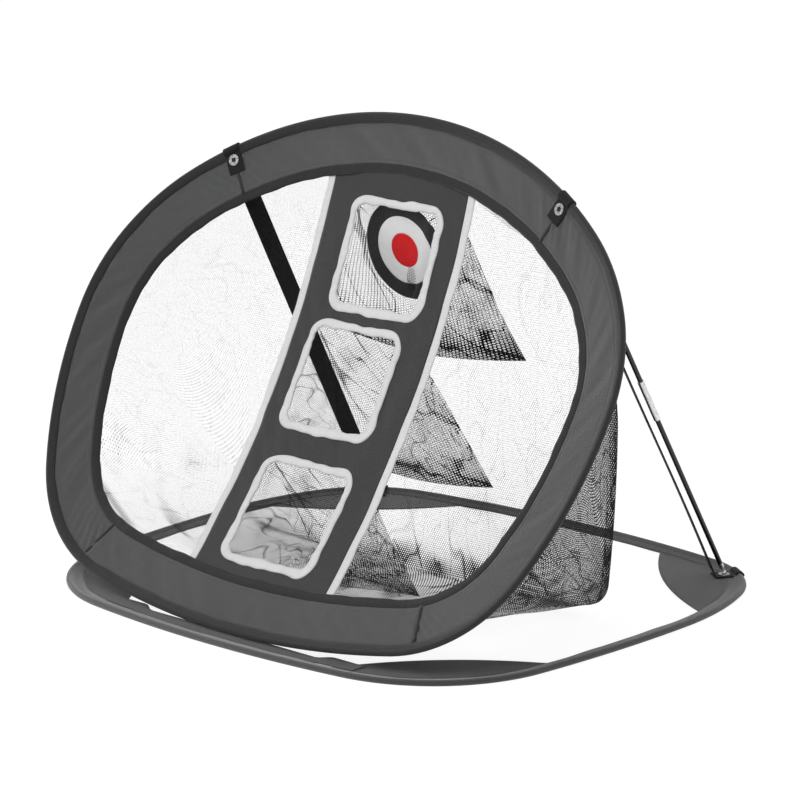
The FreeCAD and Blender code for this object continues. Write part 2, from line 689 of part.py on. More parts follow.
# Headings of the bag's corners up its right side; the front hoop's flat arcs get more of them.
BAG_CORNERS = (4, 8, 12, 26, 40, 54, 66, 74, 82, 90, 104, 119, 131, 142, 152, 161, 170.5)


def bag_section(label, inset, placement, arcs):
    headings = [0, *BAG_CORNERS, 180, *(360 - heading for heading in reversed(BAG_CORNERS))]
    corners = [point(arcs, heading, inset) for heading in headings]
    item = DOC.addObject("Sketcher::SketchObject", label)
    item.addGeometry([join(a, b) for a, b in zip(corners, corners[1:] + corners[:1])], False)
    item.Placement = placement
    return item


TILT = FreeCAD.Rotation(V(1, 0, 0), 90 - size("lean"))
# Lower and upper quarters of the bag's middle ring and rear wall: width, reach, corner, headings
MID = outline([size("bag_mid_half_width"), size("bag_mid_low_reach"), size("bag_mid_corner"), 5, 75],
              [size("bag_mid_half_width"), size("bag_mid_top_reach"), size("bag_mid_crown"), 38, 60], 0)
REAR = outline([size("bag_half_width"), size("bag_low_reach"), size("bag_corner"), 4, 78],
               [size("bag_half_width"), size("bag_top_reach"), size("bag_crown"), 38, 60], 0)
MOUTH_IN = OPENING_IN - size("bag_mouth_lap")
BACK_OF_BINDING = (drawn_back(MOUTH_IN + size("net_wall") + size("bag_mouth_sag"))
                   + size("net_gap") + size("binding_thick") / 2 / math.cos(DISH))


def bag_solid(label, wall):
    """A closed bag from the binding's back to the rear wall; wall moves its skin inwards."""
    mid_turn = FreeCAD.Rotation(V(1, 0, 0), 90 - size("bag_mid_lean"))
    mid_foot = V(0, HINGE_Y + size("bag_mid_depth"), size("bag_floor"))
    rear_foot = V(0, HINGE_Y + size("bag_depth") - wall, size("bag_floor"))
    mouth = into_front(V(0, 0, 0), BACK_OF_BINDING)
    stations = [
        (FRONT, MOUTH_IN + wall, FreeCAD.Placement(mouth, TILT)),
        (MID, wall, FreeCAD.Placement(mid_foot, mid_turn)),
        (REAR, wall, FreeCAD.Placement(rear_foot, FreeCAD.Rotation(V(1, 0, 0), 90))),
    ]
    sections = [bag_section(f"{label}_section_{n}", inset, place, arcs)
                for n, (arcs, inset, place) in enumerate(stations)]
    solid = DOC.addObject("Part::Loft", label)
    solid.Sections = sections
    solid.Solid = True
    solid.Ruled = True
    return solid


bag = DOC.addObject("Part::Cut", "net_bag")
bag.Label = "net_bag"
bag.Base = bag_solid("bag_skin", 0)
bag.Tool = bag_solid("bag_inside", size("net_wall"))
NODES.append(bag)


# --------------------------------------------------------------------------------------- poles
def turned_piece(label, section, placement):
    """A body of revolution about its own Z axis, from (radius, height) corners."""
    body = DOC.addObject("PartDesign::Body", label)
    body.Label = label
    NODES.append(body)
    body.Placement = placement
    profile = sketch(body, "XZ_Plane", section)
    item = body.newObject("PartDesign::Revolution", "Turned")
    item.Profile = profile
    item.ReferenceAxis = (profile, ["V_Axis"])
    item.Angle = 360
    return body


def tube_section(bore, outer, low, high):
    return loop((bore, low), (outer, low), (outer, high), (bore, high))


def tip_section():
    """A faceted ball on a neck with a collar that plugs the rod's end, about the ball's middle."""
    nose, neck, rod = size("tip_nose") / 2, size("tip_neck") / 2, size("rod_dia") / 2
    ball = [(nose * math.cos(turn), nose * math.sin(turn))
            for turn in (math.radians(degrees) for degrees in (-60, -20, 20))]
    collar = nose + size("tip_neck_length")
    end = collar + size("tip_collar")
    throat = math.sqrt(nose ** 2 - neck ** 2)
    return loop((0, -nose), *ball, (neck, throat), (neck, collar), (rod, collar), (rod, end),
                (0, end)), end


for side in ("left", "right"):
    ground, _ = BASE_TABS[side]
    foot = V(ground.x, ground.y, BASE_LEAF[1] + size("grommet_lip") + size("tip_seat"))
    head = into_front(FRONT_TABS[side][0], SLANT * math.sin(DISH) + size("tip_standoff"))
    along = head - foot
    length = along.Length
    up = FreeCAD.Placement(foot, FreeCAD.Rotation(V(0, 0, 1), along))
    down = FreeCAD.Placement(head, FreeCAD.Rotation(V(0, 0, 1), along * -1))
    section, end = tip_section()
    turned_piece(f"pole_tip_low_{side}", section, up)
    turned_piece(f"pole_tip_top_{side}", tip_section()[0], down)
    bore, rod = size("rod_bore") / 2, size("rod_dia") / 2
    half = length / 2
    turned_piece(f"pole_rod_low_{side}", tube_section(bore, rod, end, half), up)
    turned_piece(f"pole_rod_top_{side}", tube_section(bore, rod, end, half), down)
    shell = size("pole_ferrule_length") / 2
    turned_piece(f"pole_ferrule_{side}",
                 tube_section(rod + size("pole_ferrule_slack"), size("pole_ferrule_dia") / 2,
                              half - shell, half + shell), up)
    slack = size("cord_end_gap")
    turned_piece(f"shock_cord_{side}",
                 loop((0, end + slack), (size("cord_dia") / 2, end + slack),
                      (size("cord_dia") / 2, length - end - slack), (0, length - end - slack)), up)

# -------------------------------------------------------------------------------------- straps
for side, sign in (("left", -1), ("right", 1)):
    ground, _ = BASE_TABS[side]
    low = point(BASE, 180 - sign * size("base_tab_corner"),
                size("base_grommet_inset") + size("strap_inset"))
    foot = V(low.x, low.y, BASE_LEAF[1] + size("strap_low_gap"))
    inset = size("front_grommet_inset") + size("strap_inset")
    high = point(FRONT, 180 - sign * size("front_tab_corner"), inset)
    head = into_front(high, drawn_back(inset) + TAB_LEAF + size("strap_top_gap"))
    along = head - foot
    turn = math.radians(size("strap_turn"))
    broad = V(-sign * math.cos(turn), math.sin(turn), 0)
    strap = DOC.addObject("Part::Box", f"strap_{side}")
    strap.Label = f"strap_{side}"
    bind(strap, "Length", "{strap_width}")
    bind(strap, "Width", "{strap_thick}")
    strap.Height = along.Length
    facing_way = FreeCAD.Rotation(broad, V(0, 0, 0), along, "ZXY")
    corner = facing_way.multVec(V(-size("strap_width") / 2, -size("strap_thick") / 2, 0))
    strap.Placement = FreeCAD.Placement(foot + corner, facing_way)
    NODES.append(strap)

# --------------------------------------------------------------------------- check and export
DOC.recompute()
for item in DOC.Objects:
    if "Invalid" in item.State or "Error" in item.State:
        raise RuntimeError(f"{item.Label} failed: {item.State}")
os.makedirs("parts", exist_ok=True)
for node in NODES:
    if node.Shape.isNull() or not node.Shape.isValid() or not node.Shape.Solids:
        raise RuntimeError(f"{node.Label} has no valid solid")
    node.Shape.exportStep(f"parts/{node.Label}.step")
print(len(NODES), "parts written")
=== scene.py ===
import math

import bmesh
import bpy
from bpy.props import FloatProperty, FloatVectorProperty, IntProperty, PointerProperty
from mathutils import Matrix, Vector, noise


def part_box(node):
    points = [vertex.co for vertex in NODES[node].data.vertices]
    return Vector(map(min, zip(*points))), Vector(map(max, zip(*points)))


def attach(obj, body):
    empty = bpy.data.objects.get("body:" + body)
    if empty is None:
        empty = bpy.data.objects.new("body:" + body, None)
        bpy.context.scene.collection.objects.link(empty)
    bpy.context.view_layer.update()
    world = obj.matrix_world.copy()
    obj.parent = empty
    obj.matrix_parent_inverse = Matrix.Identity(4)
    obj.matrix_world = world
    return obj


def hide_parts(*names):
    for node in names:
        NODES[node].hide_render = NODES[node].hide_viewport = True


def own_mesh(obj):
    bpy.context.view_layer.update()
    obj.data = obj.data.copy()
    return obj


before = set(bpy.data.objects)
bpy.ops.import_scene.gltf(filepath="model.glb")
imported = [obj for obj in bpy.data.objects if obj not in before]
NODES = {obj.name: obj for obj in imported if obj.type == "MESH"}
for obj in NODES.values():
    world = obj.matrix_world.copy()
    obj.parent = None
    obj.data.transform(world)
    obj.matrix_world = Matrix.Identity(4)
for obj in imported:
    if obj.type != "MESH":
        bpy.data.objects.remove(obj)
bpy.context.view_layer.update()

bl_info = {
    "name": "Golf chipping net",
    "version": (1, 0, 0),
    "blender": (4, 5, 0),
    "location": "3D View > Sidebar > Chipping Net",
    "description": "Dresses the pop-up chipping net's frame in its fabric, tapes, webbing and mesh",
    "category": "Object",
}

SIDES = (("left", -1), ("right", 1))

# Hoop outlines as quarters: half width, reach, corner radius and the headings where it starts
# and stops. The first quarter of each is its front or foot.
BASE_LOW = (0.368, 0.411, 0.182, 7.8, 82.1)
BASE_HIGH = (0.368, 0.247, 0.141, 9.1, 70.3)
FRONT_LOW = (0.416, 0.339, 0.197, 11.7, 66.5)
FRONT_HIGH = (0.416, 0.301, 0.284, 38, 60.8)
BAG_MID_LOW = (0.335, 0.265, 0.12, 5, 75)
BAG_MID_HIGH = (0.335, 0.233, 0.23, 38, 60)
BAG_REAR_LOW = (0.295, 0.225, 0.035, 4, 84)
BAG_REAR_HIGH = (0.295, 0.245, 0.2, 38, 60)
TUBE = 0.0035           # from a hoop's edge to the middle of its wire
HINGE_SETBACK = 0.038   # from the base hoop's front edge back to the hinge
HINGE_LIFT = 0.0066     # the front hoop's foot above the ground
FABRIC_TOP = 0.0022     # top of the base fabric
BASE_CLOTH = 0.0016     # middle of the base fabric
BASE_CLOTH_WALL = 0.0011
BASE_HEM = 2 * TUBE + 0.0135
NET_BEHIND = 0.0019     # from the panel's middle back to a pocket's mouth
NET_GROUND = 0.0032     # the bag's foot above the ground
REAR_WALL = 0.042       # how far back the bag's rear wall stands
MID_RING, MID_LEAN = -0.095, math.radians(12)   # foot and lean of the bag's middle ring
BAG_LAP, BAG_SAG, BAG_BEHIND = 0.007, 0.0032, 0.0018   # how the bag's mouth laps the binding
SKIN_INSET = 0.001      # the bag's skin inside its rings
SQUASH_FLOOR = 0.004
WEBBING_WALL, WEBBING_BEND = 0.0014, 0.0050
TAB_GAP = 0.0003 + 0.00075
EYELET_HOLE = 0.0044
BASE_TAB_CORNER = 35
LOW_SEAM, TOP_SEAM = 21.5, 30.8
WINDOWS = {"top": (0.004, 0.469), "middle": (-0.009, 0.319), "bottom": (-0.004, 0.149)}


# ---------------------------------------------------------------------------- sizes and colours
class ChippingNetSizes(bpy.types.PropertyGroup):
    lean: FloatProperty(name="Lean", description="How far the front hoop leans back from upright",
                        default=math.radians(29.7), unit="ROTATION")
    dish: FloatProperty(name="Dish",
                        description="How steeply the band is drawn back behind its hoop",
                        default=math.radians(15), unit="ROTATION")
    band_width: FloatProperty(name="Band width",
                              description="Fabric between the hoop and its inner binding",
                              default=0.045, unit="LENGTH")
    binding_width: FloatProperty(name="Binding width", description="Ribbed tape round the opening",
                                 default=0.012, unit="LENGTH")
    panel_width: FloatProperty(name="Panel width",
                               description="Target panel between its edge tapes",
                               default=0.21, unit="LENGTH")
    panel_bow: FloatProperty(name="Panel bow",
                             description="How far the panel bellies back at its middle",
                             default=0.03, unit="LENGTH")
    edge_width: FloatProperty(name="Edge tape width",
                              description="Pale tape down each side of the panel",
                              default=0.01, unit="LENGTH")
    window_width: FloatProperty(name="Window width", description="Outside of a window's tape",
                                default=0.145, unit="LENGTH")
    window_height: FloatProperty(name="Window height", description="Outside of a window's tape",
                                 default=0.138, unit="LENGTH")
    window_corner: FloatProperty(name="Window corner",
                                 description="Corner radius of a window's tape",
                                 default=0.022, unit="LENGTH")
    window_border: FloatProperty(name="Window tape width",
                                 description="Width of the tape round a window",
                                 default=0.0098, unit="LENGTH")
    target_radius: FloatProperty(name="Target radius", description="Outer edge of the black ring",
                                 default=0.06, unit="LENGTH")
    target_middle: FloatProperty(name="Grey ring radius", description="Outer edge of the pale ring",
                                 default=0.042, unit="LENGTH")
    target_bull: FloatProperty(name="Bull radius", description="Outer edge of the red middle",
                               default=0.021, unit="LENGTH")
    pocket_width: FloatProperty(name="Pocket width", description="Width of the net pockets",
                                default=0.15, unit="LENGTH")
    webbing_width: FloatProperty(name="Webbing width", description="Width of the tabs and straps",
                                 default=0.022, unit="LENGTH")
    mesh_pitch: FloatProperty(name="Mesh pitch", description="Distance between the net's holes",
                              default=0.0031, unit="LENGTH")
    columns: IntProperty(name="Rows of faces", description="Faces round a hoop", default=260,
                         min=24)


def shade(name, text, value):
    return FloatVectorProperty(name=name, description=text, subtype="COLOR", size=3,
                               min=0, max=1, default=value)


class ChippingNetColours(bpy.types.PropertyGroup):
    band: shade("Band", "Woven nylon of the front band", (0.062, 0.063, 0.0645))
    panel: shade("Panel", "Woven nylon of the target panel", (0.027, 0.0275, 0.0285))
    gusset: shade("Gussets", "Woven nylon of the base corners", (0.08, 0.082, 0.084))
    binding: shade("Binding", "Ribbed tape round the opening", (0.008, 0.008, 0.0085))
    sleeve: shade("Front sleeve", "Fabric tube over the front spring wire", (0.012, 0.0122, 0.0125))
    base_sleeve: shade("Base sleeve", "Fabric tube over the base spring wire", (0.05, 0.051, 0.052))
    tape: shade("Pale tape", "Panel edges and window tapes", (0.74, 0.74, 0.74))
    webbing: shade("Webbing", "Tabs and straps", (0.0025, 0.0025, 0.0027))
    net: shade("Net", "Thread of the knitted mesh", (0.004, 0.004, 0.0045))
    red: shade("Red", "Middle of the target", (0.68, 0.002, 0.006))
    pale: shade("Pale ring", "Pale ring of the target", (0.86, 0.86, 0.86))
    metal: shade("Metal", "Ferrules and tips", (0.78, 0.79, 0.8))
    eyelet: shade("Eyelets", "Crinkled plate of the grommets", (0.36, 0.365, 0.375))


def sizes():
    return bpy.context.scene.chipping_net_sizes


def colours():
    return bpy.context.scene.chipping_net_colours


# ------------------------------------------------------------------------------- hoop outlines
def quarter(width, reach, corner, flat, stop):
    """Radii of a quarter of three tangent arcs: end arc, corner arc and side arc."""
    first, last = math.radians(flat), math.radians(stop)
    a, b = math.sin(first), 1 - math.sin(last)
    c, d = 1 - math.cos(first), math.cos(last)
    across = width - corner * (math.sin(last) - math.sin(first))
    along = reach - corner * (math.cos(first) - math.cos(last))
    det = a * d - b * c
    return (across * d - b * along) / det, corner, (a * along - c * across) / det


def facing(heading):
    angle = math.radians(heading)
    return Vector((math.sin(angle), -math.cos(angle)))


def outline(low, high, foot):
    """A closed oval from its foot anticlockwise: each arc's centre, radius and two headings."""
    end, corner, side = quarter(*low)
    top_end, top_corner, top_side = quarter(*high)
    right = [(end, 0, low[3]), (corner, low[3], low[4]), (side, low[4], 90),
             (top_side, 90, 180 - high[4]), (top_corner, 180 - high[4], 180 - high[3]),
             (top_end, 180 - high[3], 180)]
    left = [(radius, 360 - last, 360 - first) for radius, first, last in reversed(right)]
    arcs, at = [], Vector((0, foot))
    for radius, first, last in right + left:
        centre = at - facing(first) * radius
        arcs.append((centre, radius, first, last))
        at = centre + facing(last) * radius
    return arcs


def point(arcs, heading, inset=0.0):
    heading %= 360
    for centre, radius, first, last in arcs:
        if first <= heading <= last:
            return centre + facing(heading) * (radius - inset)
    raise ValueError("heading outside the outline")


def even_headings(arcs, first, last, count):
    """Headings from first to last whose points stand at even distances along the outline."""
    steps = [first + (last - first) * k / 720 for k in range(721)]
    run = [0.0]
    for a, b in zip(steps, steps[1:]):
        run.append(run[-1] + (point(arcs, b) - point(arcs, a)).length)
    out, at = [], 0
    for k in range(count + 1):
        goal = run[-1] * k / count
        while at < 719 and run[at + 1] < goal:
            at += 1
        part = (goal - run[at]) / max(run[at + 1] - run[at], 1e-12)
        out.append(steps[at] + (steps[at + 1] - steps[at]) * part)
    return out, run[-1]


BASE_FOOT = -(BASE_LOW[1] + BASE_HIGH[1]) / 2
HINGE_Y = BASE_FOOT + HINGE_SETBACK
BASE = outline(BASE_LOW, BASE_HIGH, BASE_FOOT)
FRONT = outline(FRONT_LOW, FRONT_HIGH, -TUBE)
BAG_MID = outline(BAG_MID_LOW, BAG_MID_HIGH, 0)
BAG_REAR = outline(BAG_REAR_LOW, BAG_REAR_HIGH, 0)


def on_front(across, up, back=0.0):
    """A point of the front hoop's plane, moved back out of it, in the world."""
    lean = sizes().lean
    return Vector((across, HINGE_Y + up * math.sin(lean) + back * math.cos(lean),
                   HINGE_LIFT + up * math.cos(lean) - back * math.sin(lean)))


def drawn_back(inset):
    return (inset - TUBE) * math.tan(sizes().dish)


def insets():
    """Insets of the band's outer edge, the binding's outer edge and the opening."""
    band = 2 * TUBE + 0.006
    binding = band + sizes().band_width
    return band, binding, binding + sizes().binding_width


def bow(height, behind=0.0):
    """How far the panel lies behind the hoop's plane at a height above the hinge."""
    opening = insets()[2]
    low, high = opening - TUBE, point(FRONT, 180, opening).y
    half, belly = (high - low) / 2, sizes().panel_bow
    radius = (half * half + belly * belly) / (2 * belly)
    return (drawn_back(opening) + belly - radius
            + math.sqrt((radius + behind) ** 2 - (height - (low + high) / 2) ** 2))


# ------------------------------------------------------------------------------ cloth and tapes
def wave(*terms):
    """A smooth, repeatable irregularity: each term is (amplitude, turns, phase)."""
    return lambda s: sum(a * math.sin(2 * math.pi * n * s + p) for a, n, p in terms)


def squared(wave_at, power):
    """A sine or cosine pushed outwards, for a section between round and square."""
    return math.copysign(abs(wave_at) ** power, wave_at)


def finished(name, bm, material, wall=0.0):
    mesh = bpy.data.meshes.new(name)
    for face in bm.faces:
        face.smooth = True
    bm.to_mesh(mesh)
    bm.free()
    piece = bpy.data.objects.new(name, mesh)
    bpy.context.scene.collection.objects.link(piece)
    mesh.materials.append(material)
    if wall:
        solid = piece.modifiers.new("Wall", "SOLIDIFY")
        solid.thickness, solid.offset = wall, 0.0
        solid.use_even_offset = True
    return piece


def cloth(name, columns, rows, place, flat, material, wall=0.0, keep=None, gather=None,
          closed=False, outward=False):
    """A grid of fabric: place(s, t) gives each point, flat its length and width for the weave."""
    bm = bmesh.new()
    layer = bm.loops.layers.uv.new("UVMap")
    bunch = bm.verts.layers.float.new("gather") if gather else None
    bmesh.ops.create_grid(bm, x_segments=columns, y_segments=rows, size=0.5)
    share = {v: (v.co.x + 0.5, v.co.y + 0.5) for v in bm.verts}
    for face in bm.faces:
        for corner in face.loops:
            s, t = share[corner.vert]
            corner[layer].uv = (s * flat[0], t * flat[1])
    if keep:
        lost = [f for f in bm.faces
                if not keep(sum(share[v][0] for v in f.verts) / len(f.verts),
                            sum(share[v][1] for v in f.verts) / len(f.verts))]
        bmesh.ops.delete(bm, geom=lost, context="FACES")
    for v in bm.verts:
        s, t = share[v]
        v.co = place(s, t)
        if gather:
            v[bunch] = gather(v.co)
    if closed:
        bmesh.ops.remove_doubles(bm, verts=bm.verts, dist=1e-6)
    if outward:
        bmesh.ops.recalc_face_normals(bm, faces=bm.faces)
    return finished(name, bm, material, wall)


def hoop_tube(name, arcs, seat, section, material, wobble=None):
    """A closed section carried round a hoop: section gives (inset, height), seat its place."""
    count = sizes().columns
    headings, length = even_headings(arcs, 0, 360, count)
    ring = section + section[:1]
    run = [0.0]
    for a, b in zip(ring, ring[1:]):
        run.append(run[-1] + math.dist(a, b))

    def place(s, t):
        k = min(int(round(t * (len(ring) - 1))), len(ring) - 1)
        inset, height = ring[k]
        heading = headings[int(round(s * count)) % count]
        if wobble:
            inset, height = wobble(s, inset, height)
        return seat(point(arcs, heading, inset), height)

    return cloth(name, count, len(section), place, (length, run[-1]), material,
                 closed=True, outward=True)


def sleeve_section(hem_end, low, high):
    """A round fabric tube pinched into a hem, as (inset, height) about the wire's middle."""
    turns = [math.radians(35 + 29 * k) for k in range(11)]
    tube = [(TUBE - 0.0036 * math.cos(a + math.pi), 0.0036 * math.sin(a)) for a in turns]
    return [(hem_end, high[1]), (TUBE + 0.0095, (high[0] * 2 + high[1]) / 3), *tube,
            (TUBE + 0.0095, (low[0] * 2 + low[1]) / 3), (hem_end, low[1])]


def smooth_step(x):
    x = min(max(x, 0.0), 1.0)
    return x * x * (3 - 2 * x)


def fold(spot, ends, width, depth):
    """How far a crease along a line of points moves the cloth at a spot."""
    best = 1e9
    for a, b in zip(ends, ends[1:]):
        along = b - a
        part = min(max((spot - a).dot(along) / along.length_squared, 0), 1)
        best = min(best, (spot - a - along * part).length)
    return depth * math.exp(-(best / width) ** 2)


# -------------------------------------------------------------------------------- node groups
def new_group(name, inputs, outputs):
    group = bpy.data.node_groups.new(name, "ShaderNodeTree")
    for label, kind, value in inputs:
        socket = group.interface.new_socket(label, in_out="INPUT", socket_type=f"NodeSocket{kind}")
        if value is not None:
            socket.default_value = value
    for label, kind in outputs:
        group.interface.new_socket(label, in_out="OUTPUT", socket_type=f"NodeSocket{kind}")
    into, out = group.nodes.new("NodeGroupInput"), group.nodes.new("NodeGroupOutput")
    return group, into.outputs, out.inputs


class Wiring:
    """Short calls for nodes in one tree; each argument is a number or another node's socket."""

    def __init__(self, tree):
        self.tree = tree

    def link(self, value, socket):
        if isinstance(value, bpy.types.NodeSocket):
            self.tree.links.new(value, socket)
        elif value is not None:
            socket.default_value = value

    def math(self, operation, *values):
        node = self.tree.nodes.new("ShaderNodeMath")
        node.operation = operation
        for value, socket in zip(values, node.inputs):
            self.link(value, socket)
        return node.outputs[0]

    def vector(self, operation, *values, out=0):
        node = self.tree.nodes.new("ShaderNodeVectorMath")
        node.operation = operation
        sockets = [s for s in node.inputs if s.enabled]
        for value, socket in zip(values, sockets):
            self.link(value, socket)
        return node.outputs[out]

    def split(self, vector):
        node = self.tree.nodes.new("ShaderNodeSeparateXYZ")
        self.link(vector, node.inputs[0])
        return node.outputs

    def noise(self, vector, scale, detail=3.0, rough=0.55):
        node = self.tree.nodes.new("ShaderNodeTexNoise")
        for value, name in ((vector, "Vector"), (scale, "Scale"), (detail, "Detail"),
                            (rough, "Roughness")):
            self.link(value, node.inputs[name])
        return node.outputs["Fac"]

    def mix(self, factor, a, b):
        node = self.tree.nodes.new("ShaderNodeMix")
        node.data_type = "RGBA"
        sockets = [s for s in node.inputs if s.enabled]
        for value, socket in zip((factor, a, b), sockets):
            self.link(value, socket)
        return next(s for s in node.outputs if s.enabled)

    def ramp(self, value, low, high, to_low=0.0, to_high=1.0):
        node = self.tree.nodes.new("ShaderNodeMapRange")
        for v, socket in zip((value, low, high, to_low, to_high), node.inputs):
            self.link(v, socket)
        return node.outputs[0]

    def group(self, name, **values):
        node = self.tree.nodes.new("ShaderNodeGroup")
        node.node_tree = bpy.data.node_groups[name]
        for label, value in values.items():
            self.link(value, node.inputs[label.replace("_", " ").title()])
        return node.outputs


def make_weave_group():
    """Plain weave: threads both ways in metres, with a fine height and a shade."""
    group, given, out = new_group(
        "Plain weave", [("Vector", "Vector", None), ("Pitch", "Float", 0.0008)],
        [("Height", "Float"), ("Shade", "Float")])
    w = Wiring(group)
    x, y, _ = w.split(given["Vector"])
    turns = w.math("DIVIDE", math.pi, given["Pitch"])
    warp = w.math("SINE", w.math("MULTIPLY", x, turns))
    weft = w.math("SINE", w.math("MULTIPLY", y, turns))
    over = w.math("MULTIPLY", warp, weft)
    height = w.math("ABSOLUTE", over)
    w.link(height, out["Height"])
    slub = w.noise(given["Vector"], 900.0, 1.0)
    w.link(w.math("MULTIPLY_ADD", over, 0.12, w.ramp(slub, 0.3, 0.7, 0.84, 1.14)), out["Shade"])


def make_rib_group():
    """Ribbed tape or webbing: ribs across its length, with painted shade that darkens the furrows.
    """
    group, given, out = new_group(
        "Tape ribs", [("Vector", "Vector", None), ("Pitch", "Float", 0.0016),
                      ("Slant", "Float", 0.35)],
        [("Height", "Float"), ("Shade", "Float")])
    w = Wiring(group)
    x, y, _ = w.split(given["Vector"])
    drift = w.math("MULTIPLY", w.math("PINGPONG", y, 0.0028), given["Slant"])
    turns = w.math("DIVIDE", 2 * math.pi, given["Pitch"])
    rib = w.math("SINE", w.math("MULTIPLY", w.math("ADD", x, drift), turns))
    fine = w.math("SINE", w.math("MULTIPLY", y, 9000.0))
    height = w.math("MULTIPLY_ADD", fine, 0.25, rib)
    w.link(w.ramp(height, -1.25, 1.25), out["Height"])
    # Painted shade: the colour factor falls where the rib height is low, in the furrows.
    w.link(w.ramp(height, -1.25, 1.25, 0.72, 1.16), out["Shade"])


def make_knit_group():
    """Knitted mesh: staggered round holes between threads; Gather closes the holes."""
    group, given, out = new_group(
        "Knitted mesh", [("Vector", "Vector", None), ("Pitch", "Float", 0.003),
                         ("Thread", "Float", 0.1), ("Gather", "Float", 0.0)],
        [("Mask", "Float"), ("Height", "Float")])
    w = Wiring(group)
    half = (0.5, 0.866, 1.0)
    low = (-0.5, -0.866, -1.0)
    at = w.vector("DIVIDE", given["Vector"], given["Pitch"])
    near = w.vector("WRAP", at, half, low)
    other = w.vector("WRAP", w.vector("ADD", at, (0.5, 0.866, 0.0)), half, low)
    flat = (1.0, 1.0, 0.0)
    near, other = w.vector("MULTIPLY", near, flat), w.vector("MULTIPLY", other, flat)
    first = w.math("LESS_THAN", w.vector("LENGTH", near, out=1), w.vector("LENGTH", other, out=1))
    node = group.nodes.new("ShaderNodeMix")
    node.data_type = "VECTOR"
    for value, socket in zip((first, other, near), [s for s in node.inputs if s.enabled]):
        w.link(value, socket)
    cell = w.vector("ABSOLUTE", next(s for s in node.outputs if s.enabled))
    slanted = w.vector("DOT_PRODUCT", cell, (0.5, 0.866, 0.0), out=1)
    rim = w.math("MAXIMUM", slanted, w.split(cell)[0])
    vary = w.ramp(w.noise(given["Vector"], 260.0, 2.0), 0.3, 0.7, -0.02, 0.025)
    thread = w.math("ADD", w.math("MULTIPLY_ADD", given["Gather"], 0.34, given["Thread"]), vary)
    inner = w.math("SUBTRACT", 0.5, thread)
    w.link(w.ramp(rim, w.math("SUBTRACT", inner, 0.02), w.math("ADD", inner, 0.02)), out["Mask"])
    w.link(w.ramp(rim, inner, 0.5), out["Height"])


def make_stitch_group():
    """A row of stitches along X at a distance in Y: a mask and a height that sinks round it."""
    group, given, out = new_group(
        "Stitch row", [("Vector", "Vector", None), ("Row", "Float", 0.0), ("Pitch", "Float", 0.003),
                       ("Width", "Float", 0.0006)],
        [("Mask", "Float"), ("Height", "Float")])
    w = Wiring(group)
    x, y, _ = w.split(given["Vector"])
    away = w.math("ABSOLUTE", w.math("SUBTRACT", y, given["Row"]))
    across = w.ramp(away, w.math("MULTIPLY", given["Width"], 0.4), given["Width"], 1.0, 0.0)
    beat = w.math("PINGPONG", x, w.math("MULTIPLY", given["Pitch"], 0.5))
    along = w.ramp(beat, w.math("MULTIPLY", given["Pitch"], 0.08),
                   w.math("MULTIPLY", given["Pitch"], 0.14))
    mask = w.math("MULTIPLY", across, along)
    w.link(mask, out["Mask"])
    pucker = w.ramp(away, 0.0, w.math("MULTIPLY", given["Width"], 3.0), 0.7, 0.0)
    w.link(w.math("SUBTRACT", mask, pucker), out["Height"])


def make_cloth_age_group():
    """Uneven dye, lint and soft creases of used cloth: a shade, a lint mask and a height."""
    group, given, out = new_group(
        "Cloth age", [("Vector", "Vector", None), ("Amount", "Float", 1.0)],
        [("Shade", "Float"), ("Lint", "Float"), ("Height", "Float")])
    w = Wiring(group)
    broad = w.noise(given["Vector"], 9.0, 4.0)
    fine = w.noise(given["Vector"], 120.0, 3.0)
    spread = w.math("MULTIPLY", given["Amount"], 0.16)
    shade_of = w.math("ADD", w.math("MULTIPLY", w.math("SUBTRACT", broad, 0.5), spread), 1.0)
    w.link(w.math("ADD", shade_of, w.math("MULTIPLY", w.math("SUBTRACT", fine, 0.5), spread)),
           out["Shade"])
    w.link(w.math("MULTIPLY", w.ramp(w.noise(given["Vector"], 1400.0, 2.0), 0.72, 0.82),
                  given["Amount"]), out["Lint"])
    w.link(w.noise(given["Vector"], 45.0, 4.0), out["Height"])


def make_metal_wear_group():
    """Fine scratches and a crinkled plate for bright metal: a roughness, a shade and a height."""
    group, given, out = new_group(
        "Metal wear", [("Vector", "Vector", None), ("Crinkle", "Float", 0.2)],
        [("Roughness", "Float"), ("Shade", "Float"), ("Height", "Float")])
    w = Wiring(group)
    fine = w.noise(given["Vector"], 2500.0, 3.0)
    broad = w.noise(given["Vector"], 420.0, 2.0)
    w.link(w.ramp(fine, 0.3, 0.7, 0.18, 0.42), out["Roughness"])
    w.link(w.ramp(broad, 0.35, 0.65, 0.7, 1.1), out["Shade"])
    w.link(w.math("MULTIPLY", broad, given["Crinkle"]), out["Height"])


# ----------------------------------------------------------------------------------- materials
def new_material(name):
    material = bpy.data.materials.new(name)
    material.use_nodes = True
    tree = material.node_tree
    return material, Wiring(tree), tree.nodes["Principled BSDF"].inputs


def coordinate(w, kind="UV"):
    node = w.tree.nodes.new("ShaderNodeTexCoord")
    return node.outputs[kind]


def scaled(w, colour, factor):
    node = w.tree.nodes.new("ShaderNodeVectorMath")
    node.operation = "SCALE"
    node.inputs[0].default_value = tuple(colour)
    w.link(factor, node.inputs["Scale"])
    return node.outputs[0]


def bump(w, height, distance, shader, strength=1.0):
    node = w.tree.nodes.new("ShaderNodeBump")
    node.inputs["Strength"].default_value = strength
    node.inputs["Distance"].default_value = distance
    w.link(height, node.inputs["Height"])
    w.link(node.outputs[0], shader["Normal"])


